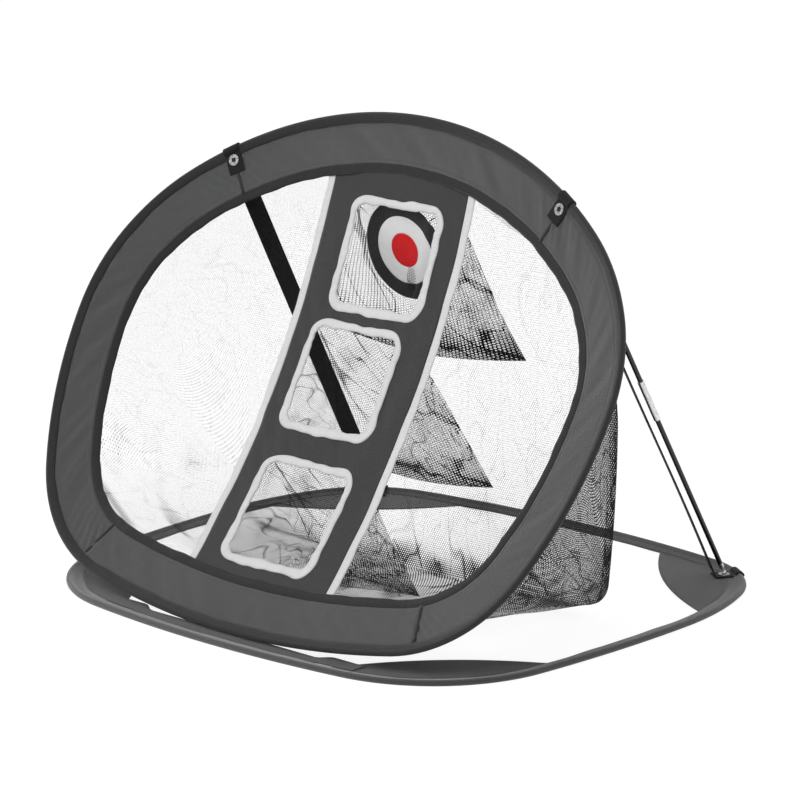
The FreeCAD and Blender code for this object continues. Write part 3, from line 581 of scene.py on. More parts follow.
def cloth_material(name, colour, pattern="Plain weave", pitch=0.0008, depth=0.0002, rough=0.8,
                   stitches=(), stitch_colour=(0.01, 0.01, 0.01), sheen=0.25, creases=0.4,
                   kind="UV"):
    """Fabric or tape: its weave, uneven dye, lint, soft creases and rows of stitches."""
    material, w, shader = new_material(name)
    at = coordinate(w, kind)
    weave = w.group(pattern, vector=at, pitch=pitch)
    age = w.group("Cloth age", vector=at, amount=1.0)
    # For ribbed tape the weave's shade is painted shade in the furrows; the age shade is uneven
    # dye.
    base = scaled(w, colour, w.math("MULTIPLY", weave["Shade"], age["Shade"]))
    pale = tuple(min(1.0, c * 1.5 + 0.02) for c in colour)
    base = w.mix(w.math("MULTIPLY", age["Lint"], 0.35), base, (*pale, 1.0))
    height = w.math("MULTIPLY_ADD", age["Height"], creases,
                    w.math("MULTIPLY", weave["Height"], 0.5))
    for row, step, width in stitches:
        sewn = w.group("Stitch row", vector=at, row=row, pitch=step, width=width)
        base = w.mix(sewn["Mask"], base, (*stitch_colour, 1.0))
        height = w.math("ADD", height, sewn["Height"])
    w.link(base, shader["Base Color"])
    w.link(w.ramp(age["Shade"], 0.9, 1.1, rough + 0.06, rough - 0.06), shader["Roughness"])
    shader["Sheen Weight"].default_value = sheen
    shader["Sheen Roughness"].default_value = 0.4
    shader["Specular IOR Level"].default_value = 0.3
    bump(w, height, depth, shader)
    return material


def net_material(name, colour, pitch, thread, wrinkle, turn=0.0):
    """Knitted mesh with open holes, bunched where the cloth says and along thin wrinkles."""
    material, w, shader = new_material(name)
    at = coordinate(w)
    if turn:
        mapping = w.tree.nodes.new("ShaderNodeMapping")
        mapping.inputs["Rotation"].default_value = (0, 0, turn)
        w.link(at, mapping.inputs["Vector"])
        at = mapping.outputs[0]
    node = w.tree.nodes.new("ShaderNodeAttribute")
    node.attribute_name = "gather"
    gathered = node.outputs["Fac"]
    bunch = gathered
    stretch = w.tree.nodes.new("ShaderNodeMapping")
    stretch.inputs["Rotation"].default_value = (0, 0, 0.9)
    stretch.inputs["Scale"].default_value = (1.0, 0.32, 1.0)
    w.link(at, stretch.inputs["Vector"])
    for scale, width in ((13.0, 0.008), (30.0, 0.013)):
        drift = w.noise(stretch.outputs[0], scale, 1.0, 0.4)
        near = w.math("ABSOLUTE", w.math("SUBTRACT", drift, 0.5))
        line = w.math("MULTIPLY", w.ramp(near, 0.0, width, 1.0, 0.0),
                      w.math("ADD", w.ramp(gathered, 0.0, 0.4, 0.0, 0.45), wrinkle))
        bunch = w.math("ADD", bunch, line)
    bunch = w.math("MINIMUM", bunch, 1.0)
    knit = w.group("Knitted mesh", vector=at, pitch=pitch, thread=thread, gather=bunch)
    lint = w.ramp(w.noise(at, 300.0, 2.0), 0.3, 0.7, 0.7, 1.4)
    w.link(scaled(w, colour, lint), shader["Base Color"])
    w.link(knit["Mask"], shader["Alpha"])
    shader["Roughness"].default_value = 0.75
    shader["Specular IOR Level"].default_value = 0.2
    bump(w, knit["Height"], 0.0003, shader)
    return material


def metal_material(name, colour, crinkle, rough_add=0.0, metallic=1.0):
    material, w, shader = new_material(name)
    wear = w.group("Metal wear", vector=coordinate(w, "Object"), crinkle=crinkle)
    w.link(scaled(w, colour, wear["Shade"]), shader["Base Color"])
    w.link(w.math("ADD", wear["Roughness"], rough_add), shader["Roughness"])
    shader["Metallic"].default_value = metallic
    bump(w, wear["Height"], 0.001, shader)
    return material


def rod_material():
    """Glossy black glass-fibre rod with faint streaks along it."""
    material, w, shader = new_material("Pole rod")
    at = coordinate(w, "Object")
    mapping = w.tree.nodes.new("ShaderNodeMapping")
    mapping.inputs["Scale"].default_value = (1, 1, 0.05)
    w.link(at, mapping.inputs["Vector"])
    streak = w.noise(mapping.outputs[0], 900.0, 2.0)
    w.link(scaled(w, (0.006, 0.006, 0.0065), w.ramp(streak, 0.3, 0.7, 0.7, 1.5)),
           shader["Base Color"])
    w.link(w.ramp(streak, 0.3, 0.7, 0.2, 0.34), shader["Roughness"])
    bump(w, streak, 0.0001, shader)
    return material


def cord_material():
    material, w, shader = new_material("Elastic cord")
    at = coordinate(w, "Object")
    braid = w.noise(at, 2200.0, 1.0)
    w.link(scaled(w, (0.012, 0.012, 0.013), w.ramp(braid, 0.3, 0.7, 0.6, 1.5)),
           shader["Base Color"])
    shader["Roughness"].default_value = 0.7
    bump(w, braid, 0.0003, shader)
    return material


def dressed(piece, body, slot, *nodes):
    """The piece rides on a body and stands for CAD nodes, which it hides; the slot is not used."""
    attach(piece, body)
    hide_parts(*nodes)
    return piece


def dressed_soft(piece, body, slot, anchor, *nodes):
    """As dressed, for a soft piece, which gets its own copy of its mesh; the anchor is not used."""
    if nodes:
        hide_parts(*nodes)
    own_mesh(piece)
    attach(piece, body)


def refinish(material, *nodes):
    for name in nodes:
        mesh = NODES[name].data
        mesh.materials.clear()
        mesh.materials.append(material)


def fabric(name):
    return bpy.data.materials[name]


# ----------------------------------------------------------------------------------- operators
class NET_OT_finishes(bpy.types.Operator):
    """Makes the shared effects and every finish of the net"""
    bl_idname = "chipping_net.finishes"
    bl_label = "Finishes"

    def execute(self, context):
        for make in (make_weave_group, make_rib_group, make_knit_group, make_stitch_group,
                     make_cloth_age_group, make_metal_wear_group):
            make()
        c, s = colours(), sizes()
        band = s.band_width
        cloth_material("Band nylon", c.band, depth=0.0007, rough=0.62, sheen=0.35, creases=1.4,
                       stitches=((0.0035, 0.0032, 0.0005), (band - 0.003, 0.0032, 0.0005)),
                       stitch_colour=(0.03, 0.03, 0.031))
        cloth_material("Panel nylon", c.panel, depth=0.0005, rough=0.66, sheen=0.3, creases=0.8)
        cloth_material("Gusset nylon", c.gusset, depth=0.0005, rough=0.66, creases=0.8,
                       stitches=((0.005, 0.003, 0.0006), (0.0085, 0.003, 0.0006)),
                       stitch_colour=(0.012, 0.012, 0.012))
        cloth_material("Sleeve cloth", c.sleeve, depth=0.0004, rough=0.6, creases=0.6,
                       stitches=((0.004, 0.003, 0.0005),), stitch_colour=(0.05, 0.05, 0.05))
        cloth_material("Base sleeve cloth", c.base_sleeve, depth=0.0004, rough=0.6, creases=0.7,
                       sheen=0.6, stitches=((0.004, 0.003, 0.0005),))
        cloth_material("Binding tape", c.binding, pattern="Tape ribs", pitch=0.0019,
                       depth=0.0009, rough=0.7, creases=0.3)
        cloth_material("Pale tape", c.tape, pattern="Tape ribs", pitch=0.0015, depth=0.0006,
                       rough=0.75, sheen=0.1, stitches=((0.0016, 0.0028, 0.0004),),
                       stitch_colour=(0.34, 0.34, 0.34))
        cloth_material("Webbing", c.webbing, pattern="Tape ribs", pitch=0.0021, depth=0.001,
                       rough=0.75, creases=0.2, sheen=0.05)
        for name, colour in (("Ring black", (0.013, 0.013, 0.0135)), ("Ring pale", c.pale),
                             ("Ring red", c.red)):
            cloth_material(name, colour, pitch=0.0006, depth=0.0002, rough=0.6, creases=0.5,
                           sheen=0.1)
        net_material("Bag net", c.net, s.mesh_pitch, thread=0.028, wrinkle=0.06)
        net_material("Pocket net", c.net, s.mesh_pitch, thread=0.06, wrinkle=0.42, turn=0.5)
        metal_material("Bright eyelet", c.eyelet, 2.5, rough_add=0.08)
        metal_material("Ferrule aluminium", c.metal, 0.1, rough_add=0.05)
        metal_material("Spring steel", (0.5, 0.5, 0.51), 0.05)
        rod_material()
        cord_material()
        return {"FINISHED"}


class NET_OT_base_sleeve(bpy.types.Operator):
    """Makes the base hoop's fabric sleeve with its flat hem"""
    bl_idname = "chipping_net.base_sleeve"
    bl_label = "Base sleeve"

    def execute(self, context):
        hem = 2 * TUBE + 0.014
        low, high = [0.001 - TUBE] * 2, [FABRIC_TOP - TUBE] * 2
        ripple = wave((0.0006, 9, 0.4), (0.0004, 23, 1.0), (0.0003, 41, 2.0))

        def wobble(s, inset, height):
            return (inset + ripple(s), height) if inset > 0.015 else (inset, height)

        piece = hoop_tube("base_sleeve_cloth", BASE, lambda p, h: Vector((p.x, p.y, TUBE + h)),
                          sleeve_section(hem, low, high), fabric("Base sleeve cloth"), wobble)
        dressed(piece, "base", "sleeve_fabric", "base_sleeve")
        return {"FINISHED"}


class NET_OT_gussets(bpy.types.Operator):
    """Makes the four corner gussets and the strip that hinges the two hoops"""
    bl_idname = "chipping_net.gussets"
    bl_label = "Gussets and hinge strip"

    def execute(self, context):
        hem, count, swell, depth = BASE_HEM, 60, 0.018, 0.1
        corners = {"rear": (98, 173.6), "front": (6.8, 83)}
        for side, sign in SIDES:
            for corner, (first, last) in corners.items():
                if sign > 0:
                    headings, length = even_headings(BASE, first, last, count)
                else:
                    headings, length = even_headings(BASE, 360 - last, 360 - first, count)
                    headings = headings[::-1]
                ends = [point(BASE, headings[0], hem), point(BASE, headings[-1], hem)]
                chord = ends[1] - ends[0]
                inward = Vector((-chord.y, chord.x)).normalized()
                if inward.dot(-ends[0]) < 0:
                    inward = -inward

                def place(s, t):
                    outer = point(BASE, headings[int(round(s * count))], hem)
                    inner = ends[0] + chord * s + inward * (swell * 4 * s * (1 - s))
                    spot = outer.lerp(inner, t)
                    rise = 0.0004 * math.sin(s * 9 + t * 5) * math.sin(math.pi * t)
                    return Vector((spot.x, spot.y, BASE_CLOTH + rise))

                piece = cloth(f"gusset_{corner}_{side}", count, 16, place, (length, 0.075),
                              fabric("Gusset nylon"), wall=BASE_CLOTH_WALL, closed=True)
                dressed(piece, "base", "gusset_fabric", f"base_gusset_{corner}_{side}")
        half, reach = 0.215, HINGE_Y + 0.006
        edge = math.degrees(math.asin(half / (BASE[0][1] - hem)))

        def strip(s, t):
            spot = point(BASE, -edge + 2 * edge * s, hem)
            over = smooth_step((abs(spot.x) - 0.13) / 0.02)
            y = spot.y + (reach + 0.01 * over - spot.y) * t
            wrinkle = 0.0003 * math.sin(40 * s) * math.sin(math.pi * t)
            return Vector((spot.x, y, BASE_CLOTH + 0.0013 * over + wrinkle))

        piece = cloth("hinge_strip_cloth", 80, 8, strip, (2 * half, 0.023), fabric("Gusset nylon"),
                      wall=BASE_CLOTH_WALL)
        dressed(piece, "base", "gusset_fabric", "hinge_strip")
        return {"FINISHED"}


class NET_OT_front_sleeve(bpy.types.Operator):
    """Makes the front hoop's fabric sleeve with its dished hem"""
    bl_idname = "chipping_net.front_sleeve"
    bl_label = "Front sleeve"

    def execute(self, context):
        hem = insets()[0]
        half = 0.0006
        slopes = [[drawn_back(i) + side * half for i in (2 * TUBE, hem)] for side in (-1, 1)]
        ripple = wave((0.0003, 13, 0.9), (0.00025, 31, 0.2), (0.0002, 57, 2.4))

        def wobble(s, inset, height):
            return (inset + ripple(s), height) if inset > 0.01 else (inset, height)

        piece = hoop_tube("front_sleeve_cloth", FRONT, lambda p, w: on_front(p.x, p.y, w),
                          sleeve_section(hem, *slopes), fabric("Sleeve cloth"), wobble)
        dressed(piece, "front", "sleeve_fabric", "front_sleeve")
        return {"FINISHED"}


class NET_OT_band(bpy.types.Operator):
    """Makes the four grey band pieces with slanting pulls, and the tapes over their seams"""
    bl_idname = "chipping_net.band"
    bl_label = "Band"

    def execute(self, context):
        outer, inner, _ = insets()
        outer -= 0.0015
        inner += 0.0015
        sectors = {"bottom": (-LOW_SEAM, LOW_SEAM), "right": (LOW_SEAM, 180 - TOP_SEAM),
                   "top": (180 - TOP_SEAM, 180 + TOP_SEAM),
                   "left": (180 + TOP_SEAM, 360 - LOW_SEAM)}
        for number, (name, (first, last)) in enumerate(sectors.items()):
            columns = max(40, round((last - first) * 2))
            headings, length = even_headings(FRONT, first, last, columns)

            def place(s, t):
                inset = outer + (inner - outer) * t
                x, y = s * length, inset
                pull = noise.noise(Vector(((x + 1.5 * y) * 30, number * 7.3, (x - y) * 3)))
                pull += 0.5 * noise.noise(Vector(((x + 1.2 * y) * 75, number * 3.1, y * 10)))
                near = math.exp(-min(s, 1 - s) * length / 0.03)
                pull += 1.6 * near * math.sin((x + y) * 420) * (1 - t)
                free = math.sin(math.pi * t) ** 0.7 if 0 < t < 1 else 0
                spot = point(FRONT, headings[int(round(s * columns))], inset)
                return on_front(spot.x, spot.y, drawn_back(inset) + 0.0017 * pull * free)

            piece = cloth(f"band_{name}_cloth", columns, 14, place, (length, inner - outer),
                          fabric("Band nylon"), wall=0.001)
            dressed(piece, "front", "band_fabric", f"band_{name}")
        bm = bmesh.new()
        layer = bm.loops.layers.uv.new("UVMap")
        for heading in (LOW_SEAM, 180 - TOP_SEAM, 180 + TOP_SEAM, 360 - LOW_SEAM):
            way = facing(heading)
            along = Vector((-way.y, way.x))
            made = bmesh.ops.create_grid(bm, x_segments=12, y_segments=4, size=0.5)
            for v in made["verts"]:
                s, t = v.co.x + 0.5, v.co.y + 0.5
                inset = outer + 0.003 + (inner - outer - 0.003) * s
                spot = point(FRONT, heading, inset) + along * (t - 0.5) * 0.0042
                lift = 0.0009 + 0.0006 * math.sin(math.pi * t)
                v.co = on_front(spot.x, spot.y, drawn_back(inset) - lift)
            for face in {f for v in made["verts"] for f in v.link_faces}:
                for corner in face.loops:
                    corner[layer].uv = (corner.vert.co.z, corner.vert.co.x * 0.05)
        piece = finished("band_seams", bm, fabric("Sleeve cloth"), 0.0007)
        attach(piece, "front")
        return {"FINISHED"}


class NET_OT_binding(bpy.types.Operator):
    """Makes the ribbed tape folded over the band's inner edge"""
    bl_idname = "chipping_net.binding"
    bl_label = "Inner binding"

    def execute(self, context):
        _, outer, inner = insets()
        middle, half = (outer + inner) / 2, (inner - outer) / 2
        section = []
        for k in range(12):
            a = 2 * math.pi * k / 12
            across = squared(math.cos(a), 0.6) * half
            thick = squared(math.sin(a), 0.6) * 0.0012
            section.append((middle + across, drawn_back(middle + across) + thick))
        ripple = wave((0.0005, 17, 0.3), (0.0004, 37, 1.7), (0.0003, 71, 0.8))

        def wobble(s, inset, height):
            return inset + ripple(s) * (0.4 if inset < middle else 1.0), height

        piece = hoop_tube("inner_binding_tape", FRONT, lambda p, w: on_front(p.x, p.y, w), section,
                          fabric("Binding tape"), wobble)
        dressed(piece, "front", "binding_tape", "inner_binding")
        return {"FINISHED"}


def opening_height(across, upper):
    """The height of the opening's edge at a distance from the middle."""
    inset = insets()[2] - 0.004
    low, high = (90.0, 180.0) if upper else (0.0, 90.0)
    goal = abs(across)
    for _ in range(40):
        middle = (low + high) / 2
        x = point(FRONT, middle, inset).x
        if (x > goal) == upper:
            low = middle
        else:
            high = middle
    return point(FRONT, (low + high) / 2, inset).y


def panel_edge(height, side):
    """The panel's edge at a height: its sides wander."""
    ripple = wave((0.0009, 2.3, 0.4 + side), (0.0005, 6.1, 1.3 * side), (0.0003, 13, 0.2))
    return side * sizes().panel_width / 2 + ripple(height)


def in_window(u, v, margin):
    s = sizes()
    a, b = s.window_width / 2 - margin, s.window_height / 2 - margin
    corner = s.window_corner - margin / 2
    for u0, v0 in WINDOWS.values():
        x, y = abs(u - u0), abs(v - v0)
        if x < a and y < b and math.hypot(max(x - a + corner, 0), max(y - b + corner, 0)) < corner:
            return True
    return False


class NET_OT_panel(bpy.types.Operator):
    """Makes the bowed target panel and the pale tapes down its edges"""
    bl_idname = "chipping_net.panel"
    bl_label = "Target panel"

    def execute(self, context):
        s_ = sizes()
        width, thick = s_.panel_width, 0.0012

        def at(s, t):
            share = 2 * s - 1
            u = share * width / 2
            low, high = opening_height(u, False), opening_height(u, True)
            return u, low + (high - low) * t

        def place(s, t):
            u, v = at(s, t)
            u += abs(2 * s - 1) ** 3 * (panel_edge(v, 1 if s > 0.5 else -1)
                                        - (1 if s > 0.5 else -1) * width / 2)
            slack = 0.0016 * noise.noise(Vector((u * 22, v * 9, 3.3)))
            slack += 0.0007 * noise.noise(Vector((u * 60 + v * 25, v * 20, 8.1)))
            return on_front(u, v, bow(v) + slack * math.sin(math.pi * t))

        def keep(s, t):
            return not in_window(*at(s, t), s_.window_border * 0.55)

        piece = cloth("panel_cloth", 70, 170, place, (width, 0.5), fabric("Panel nylon"),
                      wall=thick, keep=keep)
        dressed(piece, "front", "panel_fabric", "panel")
        for side, sign in SIDES:
            def tape(s, t):
                low, high = opening_height(width / 2, False), opening_height(width / 2, True)
                v = low + (high - low) * s
                a = 2 * math.pi * t
                thick_at = 0.0015 * math.sin(a)
                across = 0.5 - 0.5 * squared(math.cos(a), 0.7)
                edge = panel_edge(v, sign)
                fray = wave((0.0005, 11, sign), (0.0004, 27, 0.5))(v)
                u = edge + sign * ((s_.edge_width + 0.001 + fray) * across - 0.001)
                return on_front(u, v, bow(v) + thick_at)

            piece = cloth(f"panel_edge_{side}_tape", 190, 12, tape, (0.5, 0.022),
                          fabric("Pale tape"), closed=True, outward=True)
            dressed(piece, "front", "edge_tape", f"panel_edge_{side}")
        return {"FINISHED"}


def window_path(u0, v0, count):
    """Points and outward ways round a window's tape, evenly spaced."""
    s = sizes()
    inset = s.window_border / 2
    a, b = s.window_width / 2 - inset, s.window_height / 2 - inset
    corner = s.window_corner - inset
    runs = [("line", 2 * (b - corner)), ("arc", 0), ("line", 2 * (a - corner)), ("arc", 1),
            ("line", 2 * (b - corner)), ("arc", 2), ("line", 2 * (a - corner)), ("arc", 3)]
    quarter_run = corner * math.pi / 2
    total = sum(r[1] if r[0] == "line" else quarter_run for r in runs)
    spots = []
    for k in range(count):
        left, turn = total * k / count, 0
        for kind, value in runs:
            run = value if kind == "line" else quarter_run
            if left > run:
                left -= run
                turn += kind == "arc"
                continue
            break
        base = math.radians(90 * turn)
        if kind == "line":
            along = left - run / 2
            out = a if turn % 2 == 0 else b
            local, way = Vector((out, along)), Vector((1, 0))
        else:
            x, y = (a, b) if turn % 2 == 0 else (b, a)
            angle = left / corner
            way = Vector((math.cos(angle), math.sin(angle)))
            local = Vector((x - corner, y - corner)) + way * corner
        spin = Matrix.Rotation(base, 2)
        spots.append((Vector((u0, v0)) + spin @ local, spin @ way))
    return spots, total


class NET_OT_windows(bpy.types.Operator):
    """Makes the pale tape round each of the three windows"""
    bl_idname = "chipping_net.windows"
    bl_label = "Window tapes"

    def execute(self, context):
        s_ = sizes()
        count = 200
        for number, (name, (u0, v0)) in enumerate(WINDOWS.items()):
            spots, total = window_path(u0, v0, count)
            ripple = wave((0.0008, 5, number), (0.0006, 11, 2.0 * number), (0.0004, 23, 0.7))
            puffy = wave((0.0006, 7, 1.0 + number), (0.0004, 17, 0.5))

            def place(s, t):
                spot, way = spots[int(round(s * count)) % count]
                a = 2 * math.pi * t
                low = smooth_step((v0 - spot.y) / 0.06)
                half = s_.window_border / 2 + 0.0008 * low + puffy(s)
                across = squared(math.cos(a), 0.75) * half
                flat = spot + way * (across + ripple(s) * 0.6)
                pucker = 0.0004 * math.sin(2 * math.pi * s * 46) * (across < 0)
                depth = 0.0019 * math.sin(a) - 0.0006 + pucker
                return on_front(flat.x, flat.y, bow(flat.y) + depth)

            piece = cloth(f"window_tape_{name}", count, 12, place, (total, 0.025),
                          fabric("Pale tape"), closed=True, outward=True)
            dressed(piece, "front", "window_tape", f"window_frame_{name}")
        return {"FINISHED"}


# Each pocket's rear line: its distance back, its height, how much wider it is than the mouth on
# each side and how far its middle hangs.
FLOORS = {"top": (0.038, 0.29, 0.085, 0.022), "middle": (0.038, 0.13, 0.05, 0.018),
          "bottom": (-0.05, 0.009, -0.008, 0.0)}


class NET_OT_pockets(bpy.types.Operator):
    """Makes the three net pockets that hang behind the windows"""
    bl_idname = "chipping_net.pockets"
    bl_label = "Net pockets"

    def execute(self, context):
        s_ = sizes()
        half, seam = s_.pocket_width / 2 - 0.001, 0.014
        creases = {
            "top": [((-0.03, -0.09, 0.42), (-0.035, -0.03, 0.36), (-0.03, 0.02, 0.3)),
                    ((-0.06, -0.1, 0.40), (0.0, -0.04, 0.33), (0.05, 0.01, 0.30)),
                    ((0.07, -0.05, 0.36), (0.06, 0.03, 0.29), (-0.06, 0.03, 0.29))],
            "middle": [((-0.07, -0.13, 0.24), (-0.02, -0.08, 0.2), (0.03, 0.02, 0.14)),
                       ((0.06, -0.12, 0.27), (0.02, -0.06, 0.22), (-0.02, 0.0, 0.16)),
                       ((0.07, -0.02, 0.16), (0.0, 0.03, 0.135), (-0.07, 0.03, 0.135))],
            "bottom": [((-0.06, -0.2, 0.09), (-0.02, -0.15, 0.045), (0.0, -0.08, 0.02)),
                       ((0.05, -0.2, 0.10), (0.02, -0.15, 0.05), (0.0, -0.08, 0.02)),
                       ((-0.07, -0.06, 0.015), (0.07, -0.06, 0.015))],
        }
        for name, (u0, v0) in WINDOWS.items():
            back, floor, wider, hang = FLOORS[name]
            rear = Vector((0, back, floor))
            top = v0 + s_.window_height / 2 + (seam if name == "top" else 0)
            low = v0 - s_.window_height / 2
            lines = [[Vector(p) for p in line] for line in creases[name]]
            across, tall = 2 * half, top - low
            loop_run = 2 * (across + tall)
            marks = (across, across + tall, 2 * across + tall)

            def mouth(run):
                if run <= across:
                    return -half + run, top
                if run <= marks[1]:
                    return half, top - (run - across)
                if run <= marks[2]:
                    return half - (run - marks[1]), low
                return -half, low + (run - marks[2])

            def place(s, t):
                u, v = mouth(s * loop_run)
                start = on_front(u + u0, v, bow(v, NET_BEHIND))
                flare = wider * abs(u / half) ** 1.5
                end = Vector((u * 0.985 + math.copysign(flare, u) + u0, rear.y,
                              rear.z - 0.002 - (hang - 0.006) * (1 - (u / half) ** 2)))
                spot = start.lerp(end, t)
                sag = math.sin(math.pi * t)
                ripple = noise.noise(Vector((spot.x * 26, spot.y * 16, spot.z * 16 + v0 * 9)))
                if abs(u) < half - 1e-6:
                    spot.z -= (0.006 if v == low else 0.003) * sag * (1 - (u / half) ** 2)
                    spot.y += 0.0035 * ripple * sag
                else:
                    spot.x -= math.copysign(0.008 * sag + 0.003 * ripple * sag, u)
                return spot

            def gather(co):
                bunch = sum(fold(co, line, 0.004, 0.7) for line in lines)
                back = math.exp(-((co - Vector((co.x, rear.y, rear.z))).length / 0.012))
                return min(1.0, bunch + 0.6 * back
                           + 0.25 * max(0.0, noise.noise(co * 40)))

            piece = cloth(f"pocket_{name}_net", 128, 60, place, (loop_run, 0.2),
                          fabric("Pocket net"), gather=gather, closed=True)
            dressed_soft(piece, "front", "net_mesh", (0, rear.y, SQUASH_FLOOR),
                         f"pocket_net_{name}")
        return {"FINISHED"}


# How far the print sits from the pocket's middle, as the slack net carries it.
TARGET_SLIP = Vector((-0.008, -0.003, 0.01))


class NET_OT_target(bpy.types.Operator):
    """Makes the three printed rings of the target inside the top pocket"""
    bl_idname = "chipping_net.target"
    bl_label = "Target"

    def execute(self, context):
        s_ = sizes()
        rings = (("black", s_.target_radius, s_.target_middle, "Ring black"),
                 ("grey", s_.target_middle, s_.target_bull, "Ring pale"),
                 ("red", s_.target_bull, 0.0, "Ring red"))
        lo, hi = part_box("target_red")
        middle = (Vector(lo) + Vector(hi)) / 2 + TARGET_SLIP
        black_lo, black_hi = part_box("target_black")
        rise = Vector(black_hi) - Vector(black_lo)
        down = Vector((0, rise.y, -rise.z)).normalized()
        out = Vector((1, 0, 0)).cross(down).normalized()
        if out.y > 0:
            out = -out

        def placed(radius, angle):
            x, y = radius * math.cos(angle), radius * math.sin(angle)
            crease = 0.0012 * noise.noise(Vector((x * 38, y * 22, 1.7)))
            crease += 0.0016 * math.exp(-((x + 0.35 * y - 0.03) / 0.006) ** 2)
            return middle + Vector((1, 0, 0)) * x + down * y + out * (crease + 0.0004)

        for name, outer, inner, finish in rings:
            def place(s, t):
                return placed(inner + (outer - inner) * t, 2 * math.pi * s)

            piece = cloth(f"ring_{name}_print", 96, 14, place, (2 * math.pi * outer, outer),
                          fabric(finish), wall=0.0006, closed=True)
            dressed(piece, "front", f"target_print_{name}", f"target_{name}")
        return {"FINISHED"}


def bag_place(share, heading):
    """The bag's skin: share 0 at the mouth, 1 at its middle ring and 2 at its rear wall."""
    mouth_in = insets()[2] - BAG_LAP
    back = drawn_back(mouth_in + BAG_SAG) + BAG_BEHIND
    p = point(FRONT, heading, mouth_in)
    mouth = on_front(p.x, p.y, back)
    p = point(BAG_MID, heading, SKIN_INSET)
    mid = Vector((p.x, MID_RING + p.y * math.sin(MID_LEAN),
                  NET_GROUND + p.y * math.cos(MID_LEAN)))
    p = point(BAG_REAR, heading, SKIN_INSET)
    rear = Vector((p.x, REAR_WALL, NET_GROUND + p.y))
    return mouth.lerp(mid, share) if share <= 1 else mid.lerp(rear, share - 1)


class NET_OT_net_bag(bpy.types.Operator):
    """Makes the net bag: its side wall and its rear wall"""
    bl_idname = "chipping_net.net_bag"
    bl_label = "Net bag"

    def execute(self, context):
        count = 200
        headings = even_headings(BAG_MID, 0, 360, count)[0]
        lines = [[Vector(p) for p in line] for line in (
            ((0.295, 0.038, 0.42), (0.29, 0.04, 0.25), (0.285, 0.035, 0.02)),
            ((-0.27, 0.03, 0.012), (0.0, 0.035, 0.012), (0.27, 0.03, 0.012)),
            ((-0.30, -0.14, 0.05), (-0.22, -0.1, 0.035), (-0.10, -0.13, 0.02)),
            ((0.10, -0.16, 0.02), (0.2, -0.12, 0.03), (0.3, -0.05, 0.03), (0.28, 0.03, 0.05)),
            tuple(bag_place(share, heading) for share, heading in (
                (0.2, 96), (0.5, 90), (0.6, 80), (0.3, 72))),
            tuple(bag_place(share, heading) for share, heading in (
                (0.05, 312), (0.12, 322), (0.14, 334), (0.04, 342))))]

        def gather(co):
            low = 0.4 * math.exp(-max(co.z - 0.004, 0) / 0.02)
            low += 0.2 * smooth_step((co.x + 0.1) / 0.3) * math.exp(-max(co.z, 0) / 0.1)
            low += 0.5 * smooth_step((co.x - 0.24) / 0.08) * smooth_step((0.34 - co.z) / 0.12)
            clumps = max(0.0, noise.noise(co * 24) - 0.15)
            return min(1.0, low + sum(fold(co, line, 0.007, 0.45) for line in lines)
                       + clumps * math.exp(-max(co.z - 0.02, 0) / 0.05))

        def skin(s, t):
            heading = headings[int(round(s * count)) % count]
            spot = bag_place(2 * t, heading)
            inward = (Vector((0, spot.y, 0.24)) - spot).normalized()
            slack = 0.006 * noise.noise(Vector((spot.x * 11, spot.y * 9, spot.z * 11)))
            slack += 0.0025 * noise.noise(Vector((spot.x * 34, spot.y * 18, spot.z * 34)))
            free = math.sin(math.pi * min(t * 1.02, 1)) ** 0.5 if 0 < t < 0.98 else 0
            spot += inward * ((0.004 + slack) * free)
            spot.z = max(spot.z, NET_GROUND)
            return spot

        around = (2.1, 0.33)
        side = cloth("net_bag_side", count, 60, skin, around, fabric("Bag net"),
                     gather=gather, closed=True)
        centre = Vector((0, REAR_WALL, 0.25))

        def rear(s, t):
            heading = headings[int(round(s * count)) % count]
            rim = bag_place(2.0, heading)
            spot = rim.lerp(centre, t)
            slack = noise.noise(Vector((spot.x * 9, 4.4, spot.z * 9)))
            spot.y += (0.003 * slack - 0.003) * math.sin(math.pi * min(t * 1.5, 1) / 2)
            return spot

        back = cloth("net_bag_rear", count, 44, rear, (1, 1), fabric("Bag net"), gather=gather,
                     closed=True)
        flat = back.data.uv_layers[0]
        for corner in back.data.loops:
            co = back.data.vertices[corner.vertex_index].co
            flat.data[corner.index].uv = (co.x, co.z)
        anchor = (0, 0, SQUASH_FLOOR)
        dressed_soft(side, "front", "net_mesh", anchor, "net_bag")
        dressed_soft(back, "front", "net_mesh", anchor)
        return {"FINISHED"}


def ribbon(name, path, across, width, wall, flat, holes=()):
    """Webbing along a path of points; across gives its broad way at each."""
    count = len(path) - 1

    def place(s, t):
        k = int(round(s * count))
        return path[k] + across * ((t - 0.5) * width)

    def keep(s, t):
        spot = place(s, t)
        return all((spot - hole).length > radius for hole, radius in holes)

    return cloth(name, count, 14, place, flat, fabric("Webbing"), wall=wall, keep=keep)


